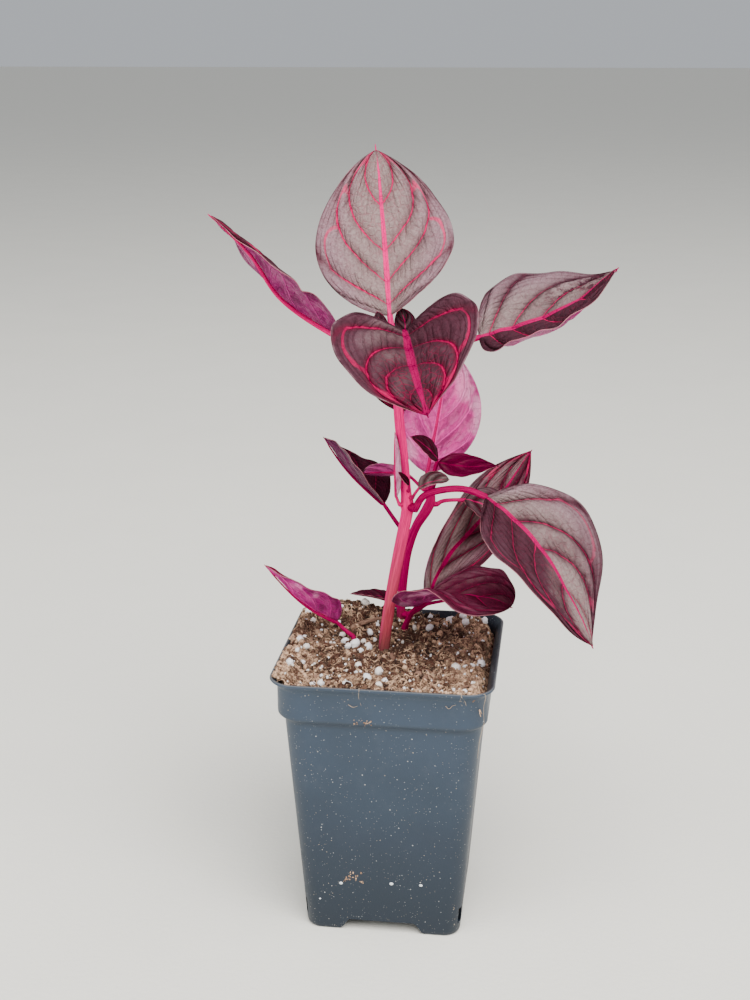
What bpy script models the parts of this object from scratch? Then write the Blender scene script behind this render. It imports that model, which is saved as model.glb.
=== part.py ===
"""A young bloodleaf plant in a thin square nursery pot.

The plant stands on the floor plane, the middle of its bounds over the origin, the pot's
sides along X and Y and +Z up. The viewer's side is -Y. Lengths are written in millimetres
and angles in degrees; places are measured from the pot's centre, which POT_CENTRE moves.
"""

import math

import bmesh
import bpy
import numpy as np
from mathutils import Matrix

MM = 0.001
CLEARANCE = 0.35
SEAT_RUN = 1.0
PETIOLE_DEPTH = 6.0
SEED = 11
POT_CENTRE = (-8.6, 2.2)

# Pot
POT_HEIGHT = 114.5
POT_BASE_HALF = 32.0
POT_BODY_TOP_HALF = 39.6
POT_BAND_HALF = 41.9
POT_LIP_HALF = 44.5
POT_BAND_BOTTOM = 97.5
POT_BAND_TOP = 110.6
POT_WALL = 0.9
POT_FLOOR_BOTTOM = 6.0
POT_FLOOR_TOP = 7.4
POT_CORNER_BASE = 6.5
POT_CORNER_TOP = 11.0
FOOT_ROUNDING = 2.2
NOTCH_WIDTH = 36.0
NOTCH_HEIGHT = 5.2
NOTCH_SLANT = 5.0
DRAIN_RADIUS = 3.5
DRAIN_SPACING = 17.0
CORNER_SLOT_WIDTH = 2.6
CORNER_SLOT_BOTTOM = 5.0
CORNER_SLOT_TOP = 12.2
CORNER_SLOT_SHIFT = 2.6

# Potting mix
MIX_LEVEL = 110.0
MIX_BACK_RISE = 3.6
MIX_MOUND = 4.6
MIX_MOUND_PLACE = (-20.0, 34.0)
MIX_MOUND_REACH = 18.0
MIX_WALL_GAP_DEPTH = 7.0
MIX_WALL_GAP_FROM = 37.5
MIX_RINGS = 10
MIX_SPOKES = 40
MIX_BOTTOM = POT_FLOOR_TOP + CLEARANCE
MIX_RISE_FROM = 22.0
MIX_RISE_RUN = 5.0
MIX_WAVE = 0.5
LUMPS = 60
LUMP_FIELD = 38.0
LUMP_HEIGHT = 1.5
LUMP_REACH = 3.4
PERLITE_GRAINS = 30
PERLITE_RADIUS = 1.6
PERLITE_FIELD = (-37.0, 36.0)
PERLITE_RAISE = 0.35
PERLITE_CLEAR_OF_STEM = 6.0
PERLITE_CLEAR_OF_BACK_STEM = 5.5
PERLITE_CLEAR_OF_PETIOLE = 4.0
TWIG_RADIUS = 1.1
TWIG_RAISE = 0.3
TWIG_PATH = ((-19.3, 17.6), (-13.0, 23.0), (-6.8, 28.0))
HOLE_ROOM = CLEARANCE + 0.15
HOLE_TOP = MIX_LEVEL + 30.0

# Stems, as (x, y, z, radius) from the buried end to the top
ROOT_DEPTH = 22.0
MAIN_STEM = (
    (-4.2, 7.5, MIX_LEVEL - ROOT_DEPTH, 2.2),
    (-4.2, 7.5, 109.0, 2.3),
    (-1.8, 7.8, 130.0, 2.35),
    (1.8, 8.3, 152.0, 2.4),
    (4.9, 8.8, 169.0, 2.4),
    (5.2, 8.8, 173.0, 2.75),
    (4.6, 8.7, 179.0, 2.15),
    (3.4, 8.5, 193.0, 2.05),
    (1.7, 8.3, 209.0, 1.95),
    (0.8, 8.2, 223.0, 1.85),
    (0.3, 8.1, 232.0, 2.0),
    (0.1, 8.1, 234.5, 2.35),
    (-0.2, 8.0, 238.0, 1.9),
    (-0.5, 8.0, 241.5, 1.6),
)
BACK_STEM = (
    (0.3, 31.2, MIX_LEVEL - ROOT_DEPTH, 1.7),
    (0.3, 31.2, 116.0, 1.8),
    (0.5, 32.3, 124.0, 1.85),
    (1.2, 33.4, 134.0, 1.85),
    (2.7, 34.6, 145.0, 1.9),
    (5.9, 36.1, 155.0, 1.9),
    (10.6, 37.7, 163.0, 2.2),
    (12.0, 38.8, 168.0, 1.9),
    (10.1, 39.6, 174.0, 1.5),
)
STEM_STEPS = 2
STEM_SIDES = 8
STEM_PATHS = {"main_stem": MAIN_STEM, "back_stem": BACK_STEM}

# Leaves. stalk is the path of the petiole from its seat, rib the points that the midrib
# passes through, face the direction of the upper side at the blade's base and tip.
# fold lifts a half blade out of the flat at the midrib and curl bends it on towards its
# margin, each listed from base to tip; left and right are as seen on the upper side with
# the tip up. powers set how blunt base and tip are.
LEAVES = {
    "leaf_top_back": dict(
        seat=("main_stem", 241.5, "top"),
        stalk=((-1.4, 8.2, 246.0),),
        rib=((-2.2, 8.6, 250.8), (-7.5, 32.9, 276.3), (-12.9, 48.0, 311.5)),
        face=((-0.04, -0.86, 0.51), (0.28, -0.74, 0.61)),
        half_width=28.5,
        powers=(0.62, 0.77),
        fold_left=(14, 9),
        fold_right=(24, 3),
        petiole=1.35,
        detail="large",
    ),
    "leaf_top_front": dict(
        seat=("main_stem", 238.5, -85.0),
        stalk=((2.0, 3.0, 244.0),),
        rib=((4.7, -0.8, 246.2), (11.6, -34.4, 238.8), (20.2, -67.4, 229.7)),
        face=((0.09, -0.26, 0.96), (0.01, -0.91, 0.42)),
        half_width=32.0,
        powers=(0.67, 1.09),
        fold_left=(60, 9),
        fold_right=(34, 10),
        petiole=1.4,
        detail="large",
    ),
    "leaf_top_left": dict(
        seat=("main_stem", 233.5, 184.0),
        stalk=((-10.0, 7.2, 237.0),),
        rib=((-21.8, 6.4, 242.4), (-43.8, 3.7, 257.3), (-54.8, -4.3, 276.1), (-65.9, -19.2, 291.5)),
        face=((0.25, 0.56, 0.79), (0.4, 0.22, 0.89)),
        half_width=22.6,
        powers=(0.69, 0.96),
        fold_left=(12, -12),
        fold_right=(25, 8),
        curl_left=(10, -23),
        curl_right=(5, 0),
        petiole=1.35,
        detail="large",
    ),
    "leaf_top_right": dict(
        seat=("main_stem", 233.5, 4.0),
        stalk=((12.0, 9.0, 236.5), (22.0, 9.8, 239.5)),
        rib=((32.7, 10.4, 242.7), (52.7, 9.8, 248.9), (71.1, 5.2, 258.9), (84.1, -6.5, 272.8)),
        face=((0.37, -0.28, 0.88), (-0.12, -0.24, 0.96)),
        half_width=26.2,
        powers=(0.5, 0.91),
        fold_left=(37, 0),
        fold_right=(-12, -37),
        curl_right=(70, 72),
        petiole=1.35,
        detail="large",
    ),
    "leaf_top_hanging": dict(
        seat=("main_stem", 231.0, 100.0),
        stalk=(),
        rib=((0.2, 13.6, 236.5), (-2.0, 17.0, 225.6), (2.5, 16.0, 210.5)),
        face=((0.0, -0.9, 0.4), (0.0, -0.95, 0.2)),
        half_width=11.0,
        powers=(0.7, 0.8),
        fold_left=(10, 10),
        fold_right=(10, 10),
        petiole=0.9,
        detail="small",
    ),
    "leaf_mid_right": dict(
        seat=("main_stem", 173.0, -38.0),
        stalk=((12.7, 3.7, 179.3), (20.9, 1.7, 182.6), (29.0, -0.2, 183.6)),
        rib=((37.3, -2.3, 181.5), (60.8, -18.0, 164.5), (81.0, -36.1, 134.2)),
        face=((0.21, -0.69, 0.69), (0.75, -0.6, 0.29)),
        half_width=26.7,
        powers=(0.95, 0.91),
        fold_left=(35, -30),
        fold_right=(18, 2),
        curl_left=(7, 8),
        curl_right=(0, 50),
        petiole=1.45,
        detail="large",
    ),
    "leaf_low_right": dict(
        seat=("potting_mix", 2.8, 23.6, 114.0),
        stalk=((5.2, 20.2, 120.5),),
        rib=((9.1, 15.4, 127.1), (16.9, 7.8, 132.6), (33.3, -1.3, 138.5), (48.8, -6.9, 137.2)),
        face=((-0.04, -0.33, 0.94), (0.39, -0.18, 0.9)),
        half_width=24.7,
        powers=(0.62, 0.5),
        fold_left=(12, 0),
        fold_right=(22, 28, 33, 35, 33, 14, 5, 5),
        petiole=1.2,
        detail="large",
    ),
    "leaf_low_left": dict(
        seat=("potting_mix", -18.0, 12.6, 113.2),
        stalk=((-21.5, 11.2, 116.6),),
        rib=((-24.5, 9.4, 120.7), (-37.6, 0.2, 132.3), (-51.1, -5.7, 149.6)),
        face=((0.24, 0.56, 0.79), (0.4, 0.26, 0.88)),
        half_width=13.3,
        powers=(0.65, 0.89),
        fold_left=(40, 19),
        fold_right=(35, 20),
        petiole=0.9,
        detail="medium",
    ),
    "leaf_back_left": dict(
        seat=("back_stem", 150.0, 130.0),
        stalk=((-3.0, 38.5, 156.5),),
        rib=((-8.7, 42.6, 162.8), (-24.9, 49.9, 174.7), (-37.0, 58.6, 187.1)),
        face=((0.64, -0.42, 0.65), (0.76, -0.04, 0.65)),
        half_width=15.5,
        powers=(0.62, 0.92),
        fold_left=(48, 42),
        fold_right=(29, 8),
        petiole=1.0,
        detail="medium",
    ),
    "leaf_back_right": dict(
        seat=("back_stem", 117.0, -20.0),
        stalk=((6.0, 29.5, 119.0),),
        rib=((10.9, 30.4, 122.2), (19.7, 43.0, 140.0), (37.9, 54.0, 160.0), (53.2, 62.0, 183.4)),
        face=((-0.3, -0.75, 0.55), (-0.2, -0.8, 0.5)),
        half_width=18.0,
        powers=(0.95, 0.92),
        fold_left=(80, 68, 45, 10),
        curl_left=(20, 40, 25, 0),
        fold_right=(10, 25),
        petiole=1.2,
        detail="large",
    ),
    "leaf_back_upright": dict(
        seat=("back_stem", 173.0, 100.0),
        stalk=(),
        rib=((9.8, 43.0, 177.5), (14.0, 49.0, 203.0), (17.5, 54.0, 229.0)),
        face=((0.0, 0.75, 0.6), (0.2, 0.75, 0.6)),
        half_width=18.5,
        powers=(0.66, 0.78),
        fold_left=(17, 8),
        fold_right=(15, 12),
        petiole=1.0,
        detail="large",
    ),
    "leaf_back_small": dict(
        seat=("back_stem", 172.5, 20.0),
        stalk=((13.2, 41.0, 178.0),),
        rib=((14.6, 41.3, 182.6), (26.4, 40.4, 181.3), (39.7, 38.8, 182.7)),
        face=((0.07, -0.66, 0.75), (0.06, -0.37, 0.93)),
        half_width=6.8,
        powers=(0.71, 0.93),
        fold_left=(10, 9),
        fold_right=(7, 14),
        petiole=0.75,
        detail="small",
    ),
    "leaf_back_bud": dict(
        seat=("back_stem", 172.5, -60.0),
        stalk=((13.4, 36.4, 181.0),),
        rib=((14.9, 35.5, 185.5), (10.3, 30.7, 192.1), (4.6, 25.0, 197.8)),
        face=((0.32, -0.64, 0.7), (0.32, -0.67, 0.67)),
        half_width=4.6,
        powers=(0.7, 0.91),
        fold_left=(18, 19),
        fold_right=(11, 12),
        petiole=0.6,
        detail="small",
    ),
    "leaf_back_inner": dict(
        seat=("back_stem", 171.0, 185.0),
        stalk=((3.5, 39.6, 176.0),),
        rib=((0.5, 39.5, 178.0), (-8.0, 38.8, 178.4), (-17.0, 38.1, 177.8)),
        face=((0.0, 0.8, 0.6), (0.0, 0.8, 0.6)),
        half_width=4.6,
        powers=(0.6, 0.5),
        fold_left=(15, 15),
        fold_right=(15, 15),
        petiole=0.7,
        detail="small",
    ),
    "leaf_back_under": dict(
        seat=("back_stem", 165.0, 12.0),
        stalk=((18.0, 38.9, 166.6),),
        rib=((26.3, 39.6, 167.1), (37.0, 38.0, 163.5), (48.0, 36.0, 153.0)),
        face=((0.1, -0.2, 0.95), (0.4, -0.5, 0.7)),
        half_width=11.0,
        powers=(0.65, 0.9),
        fold_left=(15, 15),
        fold_right=(15, 15),
        petiole=0.95,
        detail="small",
    ),
    "leaf_back_low": dict(
        seat=("back_stem", 120.0, 150.0),
        stalk=(),
        rib=((-5.0, 36.5, 121.0), (-13.0, 38.5, 121.8), (-23.0, 41.0, 121.5)),
        face=((0.0, 0.1, 1.0), (0.0, 0.1, 1.0)),
        half_width=6.5,
        powers=(0.65, 0.8),
        fold_left=(15, 15),
        fold_right=(15, 15),
        petiole=0.8,
        detail="small",
    ),
    "young_leaf_left": dict(
        seat=("main_stem", 174.0, 215.0),
        stalk=(),
        rib=((1.0, 5.6, 177.5), (0.5, 4.9, 190.0), (0.2, 6.4, 204.0)),
        face=((0.5, 0.5, 0.1), (0.5, 0.5, 0.1)),
        half_width=2.6,
        powers=(0.7, 0.8),
        fold_left=(35, 35),
        fold_right=(35, 35),
        petiole=0.7,
        detail="small",
    ),
    "young_leaf_right": dict(
        seat=("main_stem", 177.0, -40.0),
        stalk=((8.6, 5.4, 179.5),),
        rib=((10.2, 5.0, 181.8), (15.4, 4.6, 184.6), (22.2, 4.6, 186.0)),
        face=((-0.2, -0.7, 0.7), (-0.2, -0.7, 0.7)),
        half_width=4.6,
        powers=(0.6, 0.6),
        fold_left=(20, 20),
        fold_right=(20, 20),
        curl_left=(60, 50),
        curl_right=(60, 50),
        petiole=0.7,
        detail="small",
    ),
    "young_leaf_front": dict(
        seat=("main_stem", 180.0, -62.0),
        stalk=(),
        rib=((6.2, 4.3, 183.0), (4.4, 3.0, 186.0), (2.1, 2.4, 189.0)),
        face=((0.3, -0.6, 0.7), (0.3, -0.6, 0.7)),
        half_width=1.6,
        powers=(0.7, 0.8),
        fold_left=(25, 25),
        fold_right=(25, 25),
        petiole=0.5,
        detail="small",
    ),
    "bud_leaf_left": dict(
        seat=("main_stem", 239.5, 175.0),
        stalk=(),
        rib=((-4.4, 7.6, 243.5), (-6.0, 7.4, 248.0), (-7.2, 7.6, 252.5)),
        face=((0.2, -0.8, 0.5), (0.2, -0.8, 0.5)),
        half_width=3.0,
        powers=(0.65, 0.7),
        fold_left=(20, 20),
        fold_right=(20, 20),
        petiole=0.55,
        detail="small",
    ),
    "bud_leaf_right": dict(
        seat=("main_stem", 239.5, 40.0),
        stalk=(),
        rib=((3.0, 11.2, 243.0), (3.2, 13.4, 247.0), (0.8, 16.0, 252.5)),
        face=((0.1, -0.8, 0.5), (0.1, -0.8, 0.5)),
        half_width=4.6,
        powers=(0.65, 0.7),
        fold_left=(20, 20),
        fold_right=(20, 20),
        petiole=0.55,
        detail="small",
    ),
}
BLADE_THICKNESS = 0.62
RIB_RAISE = 0.55
RIB_END = 0.9
RIB_BASE_SHARE = 0.85
RIB_THINNING = 0.5
RIB_SIDES = 6

# Side veins: the first runs along the margin up to BASE_MARGIN of the length, and they start
# closer together at the base (VEIN_START) and sweep forward to the margin (VEIN_SWEEP), in a
# line that is straight for its first part (VEIN_STRAIGHT) and then bends forward
BASE_MARGIN = 0.1
BASE_FADE = 8
VEIN_START = 1.6
VEIN_SWEEP = 1.8
VEIN_STRAIGHT = 0.55
COLUMN_SPREAD = 0.85
NARROW_COLUMN = 0.55

# Quilting: how far the blade swells between two side veins, and the share of the length and
# width over which it fades out
QUILT_HEIGHT = 0.55
QUILT_FULL_SIZE = 20.0
QUILT_FADE = 0.2
QUILT_REACH = 1.1
QUILT_FLATNESS = 0.7
# Vein pairs, rows between two veins, columns in a half blade, points along petiole and rib
DETAIL = {
    "large": (5, 3, 4, 8, 8),
    "medium": (4, 3, 3, 6, 6),
    "small": (3, 2, 2, 4, 4),
}


def unit(vectors):
    """The vectors at length one."""
    vectors = np.asarray(vectors, float)
    return vectors / np.linalg.norm(vectors, axis=-1, keepdims=True)


def through(points, along):
    """Smooth curve through the points, read at fractions 0 to 1 of the way along."""
    points = np.asarray(points, float)
    if len(points) == 2:
        points = np.array([points[0], (points[0] + points[1]) / 2, points[1]])
    before = 2.5 * points[0] - 2.0 * points[1] + 0.5 * points[2]
    after = 2.5 * points[-1] - 2.0 * points[-2] + 0.5 * points[-3]
    knots = np.vstack([before, points, after])
    place = np.clip(np.asarray(along, float), 0.0, 1.0 - 1e-9) * (len(points) - 1)
    first = place.astype(int)
    part = (place - first)[..., None]
    a, b, c, d = (knots[first + k] for k in range(4))
    bend = 2 * a - 5 * b + 4 * c - d
    twist = 3 * b - a - 3 * c + d
    return 0.5 * (2 * b + (c - a) * part + bend * part**2 + twist * part**3)


def new_material(name, colour, roughness, metallic=0.0):
    """Principled material with one colour."""
    material = bpy.data.materials.new(name)
    material.use_nodes = True
    shader = material.node_tree.nodes["Principled BSDF"]
    shader.inputs["Base Color"].default_value = (*colour, 1.0)
    shader.inputs["Roughness"].default_value = roughness
    shader.inputs["Metallic"].default_value = metallic
    return material


def add_object(name, bm, collection, material=None):
    """Object from a bmesh in millimetres."""
    mesh = bpy.data.meshes.new(name)
    bmesh.ops.translate(bm, verts=bm.verts, vec=(*POT_CENTRE, 0.0))
    bmesh.ops.scale(bm, vec=(MM, MM, MM), verts=bm.verts)
    bm.to_mesh(mesh)
    bm.free()
    if material:
        mesh.materials.append(material)
    piece = bpy.data.objects.new(name, mesh)
    collection.objects.link(piece)
    return piece


def add_cutter(name, bm, collection):
    """Object that only cuts or joins, shown as wire."""
    cutter = add_object(name, bm, collection)
    cutter.hide_render = True
    cutter.display_type = "WIRE"
    return cutter


def combine(piece, others, operation):
    """Boolean of a piece with a collection of others, applied, and the others removed."""
    group = bpy.data.collections.new("join")
    for other in others:
        group.objects.link(other)
    change = piece.modifiers.new("combine", "BOOLEAN")
    change.operand_type = "COLLECTION"
    change.collection = group
    change.operation = operation
    change.solver = "MANIFOLD"
    bpy.context.view_layer.update()
    evaluated = piece.evaluated_get(bpy.context.evaluated_depsgraph_get())
    mesh = bpy.data.meshes.new_from_object(evaluated)
    piece.modifiers.clear()
    piece.data = mesh
    for other in others:
        bpy.data.objects.remove(other)
    bpy.data.collections.remove(group)


def tube(name, points, radii, collection, sides, material=None):
    """Closed round tube through points in millimetres, made from a curve with caps."""
    curve = bpy.data.curves.new(name, "CURVE")
    curve.dimensions = "3D"
    curve.bevel_depth = MM
    curve.bevel_resolution = sides // 2 - 2
    curve.use_fill_caps = True
    spline = curve.splines.new("POLY")
    spline.points.add(len(points) - 1)
    for knot, place, radius in zip(spline.points, points, radii):
        knot.co = (*(c * MM for c in place), 1.0)
        knot.radius = radius
    guide = bpy.data.objects.new(name + "_curve", curve)
    collection.objects.link(guide)
    bpy.context.view_layer.update()
    evaluated = guide.evaluated_get(bpy.context.evaluated_depsgraph_get())
    mesh = bpy.data.meshes.new_from_object(evaluated)
    bpy.data.objects.remove(guide)
    bm = bmesh.new()
    bm.from_mesh(mesh)
    bpy.data.meshes.remove(mesh)
    bmesh.ops.remove_doubles(bm, verts=bm.verts, dist=1e-6)
    bmesh.ops.recalc_face_normals(bm, faces=bm.faces)
    bmesh.ops.scale(bm, vec=(1 / MM, 1 / MM, 1 / MM), verts=bm.verts)
    return add_object(name, bm, collection, material)


def shade_round(piece, sharp_angle=40.0):
    """Smooth shading that keeps real corners sharp."""
    piece.data.shade_smooth()
    piece.data.set_sharp_from_angle(angle=math.radians(sharp_angle))


def rounded_square(half, corner, steps=4):
    """Outline of a square with round corners, anticlockwise."""
    outline = []
    for quarter in range(4):
        turn = quarter * math.pi / 2
        centre_x, centre_y = half - corner, half - corner
        for step in range(steps + 1):
            angle = step / steps * math.pi / 2
            x = centre_x + corner * math.cos(angle)
            y = centre_y + corner * math.sin(angle)
            outline.append(
                (x * math.cos(turn) - y * math.sin(turn), x * math.sin(turn) + y * math.cos(turn))
            )
    return outline


def add_rings(bm, rings):
    """Skin rings of points, one after another, and close both ends."""
    loops = [[bm.verts.new(point) for point in ring] for ring in rings]
    for lower, upper in zip(loops, loops[1:]):
        count = len(lower)
        for k in range(count):
            bm.faces.new((lower[k], lower[(k + 1) % count], upper[(k + 1) % count], upper[k]))
    bm.faces.new(list(reversed(loops[0])))
    bm.faces.new(loops[-1])


def body_half(height):
    """Half width of the pot's outside below the rim band."""
    return POT_BASE_HALF + (POT_BODY_TOP_HALF - POT_BASE_HALF) * height / POT_BAND_BOTTOM


def corner_at(height):
    """Corner radius of the pot at a height."""
    return POT_CORNER_BASE + (POT_CORNER_TOP - POT_CORNER_BASE) * height / POT_HEIGHT


def inner_half(height):
    """Half width of the pot's inside."""
    if height < POT_BAND_BOTTOM:
        return body_half(height) - POT_WALL
    return POT_BAND_HALF - POT_WALL


def pot_ring(half, height, inset=0.0):
    """One level ring of the pot."""
    corner = max(corner_at(height) - inset, 1.0)
    return [(x, y, height) for x, y in rounded_square(half, corner)]


def make_pot(collection, cutters):
    """Thin square pot with a stepped rim band, a flared lip, a raised floor and notched feet."""
    outside = [
        (POT_BASE_HALF - 1.0, 0.0),
        (body_half(FOOT_ROUNDING) - 0.2, 0.8),
        (body_half(FOOT_ROUNDING), FOOT_ROUNDING),
        (body_half(POT_BAND_BOTTOM - 1.6), POT_BAND_BOTTOM - 1.6),
        (POT_BAND_HALF - 0.5, POT_BAND_BOTTOM + 0.6),
        (POT_BAND_HALF, POT_BAND_BOTTOM + 2.0),
        (POT_BAND_HALF + 0.1, POT_BAND_TOP),
        (POT_LIP_HALF - 0.6, POT_HEIGHT - 1.5),
        (POT_LIP_HALF, POT_HEIGHT - 0.7),
        (POT_LIP_HALF - 0.2, POT_HEIGHT),
    ]
    inside = [
        (POT_LIP_HALF - 0.9, POT_HEIGHT),
        (POT_BAND_HALF + 0.3, POT_HEIGHT - 1.4),
        (inner_half(POT_BAND_TOP), POT_BAND_TOP - 0.8),
        (inner_half(POT_BAND_TOP), POT_BAND_BOTTOM + 1.4),
        (body_half(POT_BAND_BOTTOM - 1.6) - POT_WALL, POT_BAND_BOTTOM - 2.0),
        (body_half(POT_FLOOR_TOP) - POT_WALL, POT_FLOOR_TOP),
    ]
    underside = [
        (body_half(POT_FLOOR_BOTTOM) - 2.6, POT_FLOOR_BOTTOM),
        (POT_BASE_HALF - 2.8, 0.0),
    ]
    rings = [pot_ring(half, height, 2.0) for half, height in underside]
    rings += [pot_ring(half, height) for half, height in outside]
    rings += [pot_ring(half, height, POT_WALL) for half, height in inside]
    bm = bmesh.new()
    add_rings(bm, rings)
    plastic = new_material("slate_plastic", (0.09, 0.125, 0.155), 0.42)
    pot = add_object("pot", bm, collection, plastic)
    combine(pot, notch_cutters(cutters) + drain_cutters(cutters), "DIFFERENCE")
    shade_round(pot)
    return pot


def notch_cutters(cutters):
    """One bar along X and one along Y, which notch all four sides between the feet."""
    bars = []
    reach = POT_LIP_HALF
    low, high = NOTCH_WIDTH / 2, NOTCH_WIDTH / 2 - NOTCH_SLANT
    right = ((low, -1.0), (low, 0.4), (high, NOTCH_HEIGHT))
    profile = right + tuple((-y, z) for y, z in reversed(right))
    for name, turn in (("notch_x", 0.0), ("notch_y", math.pi / 2)):
        bm = bmesh.new()
        add_rings(bm, [[(end, y, z) for y, z in profile] for end in (-reach, reach)])
        bmesh.ops.rotate(bm, verts=bm.verts, matrix=Matrix.Rotation(turn, 3, "Z"))
        bars.append(add_cutter(name, bm, cutters))
    return bars


def drain_cutters(cutters):
    """Round drain holes through the floor and an upright slot at each corner of the foot."""
    made = []
    rows = (-DRAIN_SPACING, 0, DRAIN_SPACING)
    places = [(x, y) for x in rows for y in rows]
    for number, (x, y) in enumerate(places):
        bm = bmesh.new()
        bmesh.ops.create_cone(
            bm, cap_ends=True, segments=12, radius1=DRAIN_RADIUS, radius2=DRAIN_RADIUS, depth=8.0
        )
        bmesh.ops.translate(bm, verts=bm.verts, vec=(x, y, POT_FLOOR_BOTTOM))
        made.append(add_cutter(f"drain_{number}", bm, cutters))
    for number in range(4):
        bm = bmesh.new()
        bmesh.ops.create_cube(bm, size=1.0)
        tall = CORNER_SLOT_TOP - CORNER_SLOT_BOTTOM
        bmesh.ops.scale(bm, vec=(9.0, CORNER_SLOT_WIDTH, tall), verts=bm.verts)
        out = (POT_BASE_HALF - POT_CORNER_BASE * 0.3) * math.sqrt(2)
        shift = CORNER_SLOT_SHIFT if number % 2 else -CORNER_SLOT_SHIFT
        bmesh.ops.translate(bm, verts=bm.verts, vec=(out, shift, CORNER_SLOT_BOTTOM + tall / 2))
        turn = Matrix.Rotation(math.radians(45 + 90 * number), 3, "Z")
        bmesh.ops.rotate(bm, verts=bm.verts, matrix=turn)
        made.append(add_cutter(f"corner_slot_{number}", bm, cutters))
    return made


def lump_places():
    """Seeded places, heights and reaches of the lumps of the potting mix."""
    draw = np.random.default_rng(SEED)
    places = draw.uniform(-LUMP_FIELD, LUMP_FIELD, (LUMPS, 2))
    heights = draw.uniform(0.3, 1.0, LUMPS) * LUMP_HEIGHT
    reaches = draw.uniform(0.6, 1.2, LUMPS) * LUMP_REACH
    return places, heights, reaches


LUMP_SET = lump_places()


def mix_height(x, y):
    """Height of the mix: higher at the back, most at the left, and sunk at the right wall."""
    away = math.hypot(x - MIX_MOUND_PLACE[0], y - MIX_MOUND_PLACE[1])
    mound = MIX_MOUND * math.exp(-((away / MIX_MOUND_REACH) ** 2))
    rise = MIX_BACK_RISE / (1.0 + math.exp(-(y - MIX_RISE_FROM) / MIX_RISE_RUN))
    sunk = MIX_WALL_GAP_DEPTH / (1.0 + math.exp(-(x - MIX_WALL_GAP_FROM) / 0.8))
    wave = MIX_WAVE * math.sin(x * 0.21 + 1.0) * math.cos(y * 0.17)
    level = MIX_LEVEL + rise + mound - sunk + wave
    places, heights, reaches = LUMP_SET
    away = (places[:, 0] - x) ** 2 + (places[:, 1] - y) ** 2
    return level + float((heights * np.exp(-away / reaches**2)).sum())


def make_mix(collection, cutters):
    """Potting mix that fills the pot, with perlite and a twig grown into its top."""
    bm = bmesh.new()
    walls = []
    steps = MIX_SPOKES // 4 - 1
    for height in (MIX_BOTTOM, POT_BAND_BOTTOM - 2.1, POT_BAND_BOTTOM + 1.5):
        outline = rounded_square(inner_half(height) - CLEARANCE, corner_at(height) - POT_WALL, steps)
        walls.append([(x, y, height) for x, y in outline])
    top_half = inner_half(POT_BAND_TOP) - CLEARANCE
    top_outline = rounded_square(top_half, POT_CORNER_TOP - POT_WALL, steps)
    for ring in range(MIX_RINGS, 0, -1):
        share = ring / MIX_RINGS
        walls.append([(x * share, y * share, mix_height(x * share, y * share)) for x, y in top_outline])
    add_rings(bm, walls)
    bmesh.ops.triangulate(bm, faces=bm.faces)
    peat = new_material("potting_mix", (0.09, 0.055, 0.035), 0.95)
    mix = add_object("potting_mix", bm, collection, peat)
    combine(mix, perlite_grains(cutters) + [twig(cutters)], "UNION")
    combine(mix, stem_holes(cutters), "DIFFERENCE")
    shade_round(mix)
    return mix


def perlite_grains(cutters):
    """Angular white grains sunk half into the top of the mix."""
    draw = np.random.default_rng(SEED + 1)
    grains = []
    while len(grains) < PERLITE_GRAINS:
        x, y = draw.uniform(*PERLITE_FIELD, 2)
        if any(math.hypot(x - a, y - b) < keep for a, b, keep in hole_list()):
            continue
        bm = bmesh.new()
        bmesh.ops.create_icosphere(bm, subdivisions=1, radius=PERLITE_RADIUS * draw.uniform(0.7, 1.2))
        for vert in bm.verts:
            vert.co *= draw.uniform(0.85, 1.15)
        bmesh.ops.translate(bm, verts=bm.verts, vec=(x, y, mix_height(x, y) + PERLITE_RAISE))
        grains.append(add_cutter(f"perlite_{len(grains)}", bm, cutters))
    return grains


def twig(cutters):
    """Short stick half sunk in the mix behind the lower left leaf."""
    path = [(x, y, mix_height(x, y) + TWIG_RAISE) for x, y in TWIG_PATH]
    return tube("twig", path, (TWIG_RADIUS, TWIG_RADIUS * 0.9, TWIG_RADIUS * 0.7), cutters, 6)


def hole_list():
    """Places in the mix that stay clear of grains, as x, y and clear distance."""
    places = [
        (*MAIN_STEM[0][:2], PERLITE_CLEAR_OF_STEM),
        (*BACK_STEM[0][:2], PERLITE_CLEAR_OF_BACK_STEM),
    ]
    for leaf in LEAVES.values():
        if leaf["seat"][0] == "potting_mix":
            places.append((*leaf["seat"][1:3], PERLITE_CLEAR_OF_PETIOLE))
    return places


def stem_holes(cutters):
    """Plain upright holes for the stems and for the petioles that rise from the mix."""
    holes = [(stem[0][:2], stem[1][3] + HOLE_ROOM, stem[0][2]) for stem in (MAIN_STEM, BACK_STEM)]
    for leaf in LEAVES.values():
        if leaf["seat"][0] == "potting_mix":
            bottom = MIX_LEVEL - PETIOLE_DEPTH
            holes.append((leaf["seat"][1:3], leaf["petiole"] + HOLE_ROOM, bottom))
    made = []
    for number, ((x, y), radius, bottom) in enumerate(holes):
        bm = bmesh.new()
        deep = HOLE_TOP - bottom
        bmesh.ops.create_cone(
            bm, cap_ends=True, segments=14, radius1=radius, radius2=radius, depth=deep
        )
        bmesh.ops.translate(bm, verts=bm.verts, vec=(x, y, bottom - CLEARANCE + deep / 2))
        made.append(add_cutter(f"hole_{number}", bm, cutters))
    return made


def make_stem(name, path, collection, colour):
    """Round stem along its path, thicker at the joints where leaves grow."""
    knots = np.array(path, float)
    along = np.linspace(0.0, 1.0, (len(path) - 1) * STEM_STEPS + 1)
    curve = through(knots, along)
    stem = tube(name, curve[:, :3], curve[:, 3], collection, STEM_SIDES, new_material(name, colour, 0.4))
    shade_round(stem, 60.0)
    return stem


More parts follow.
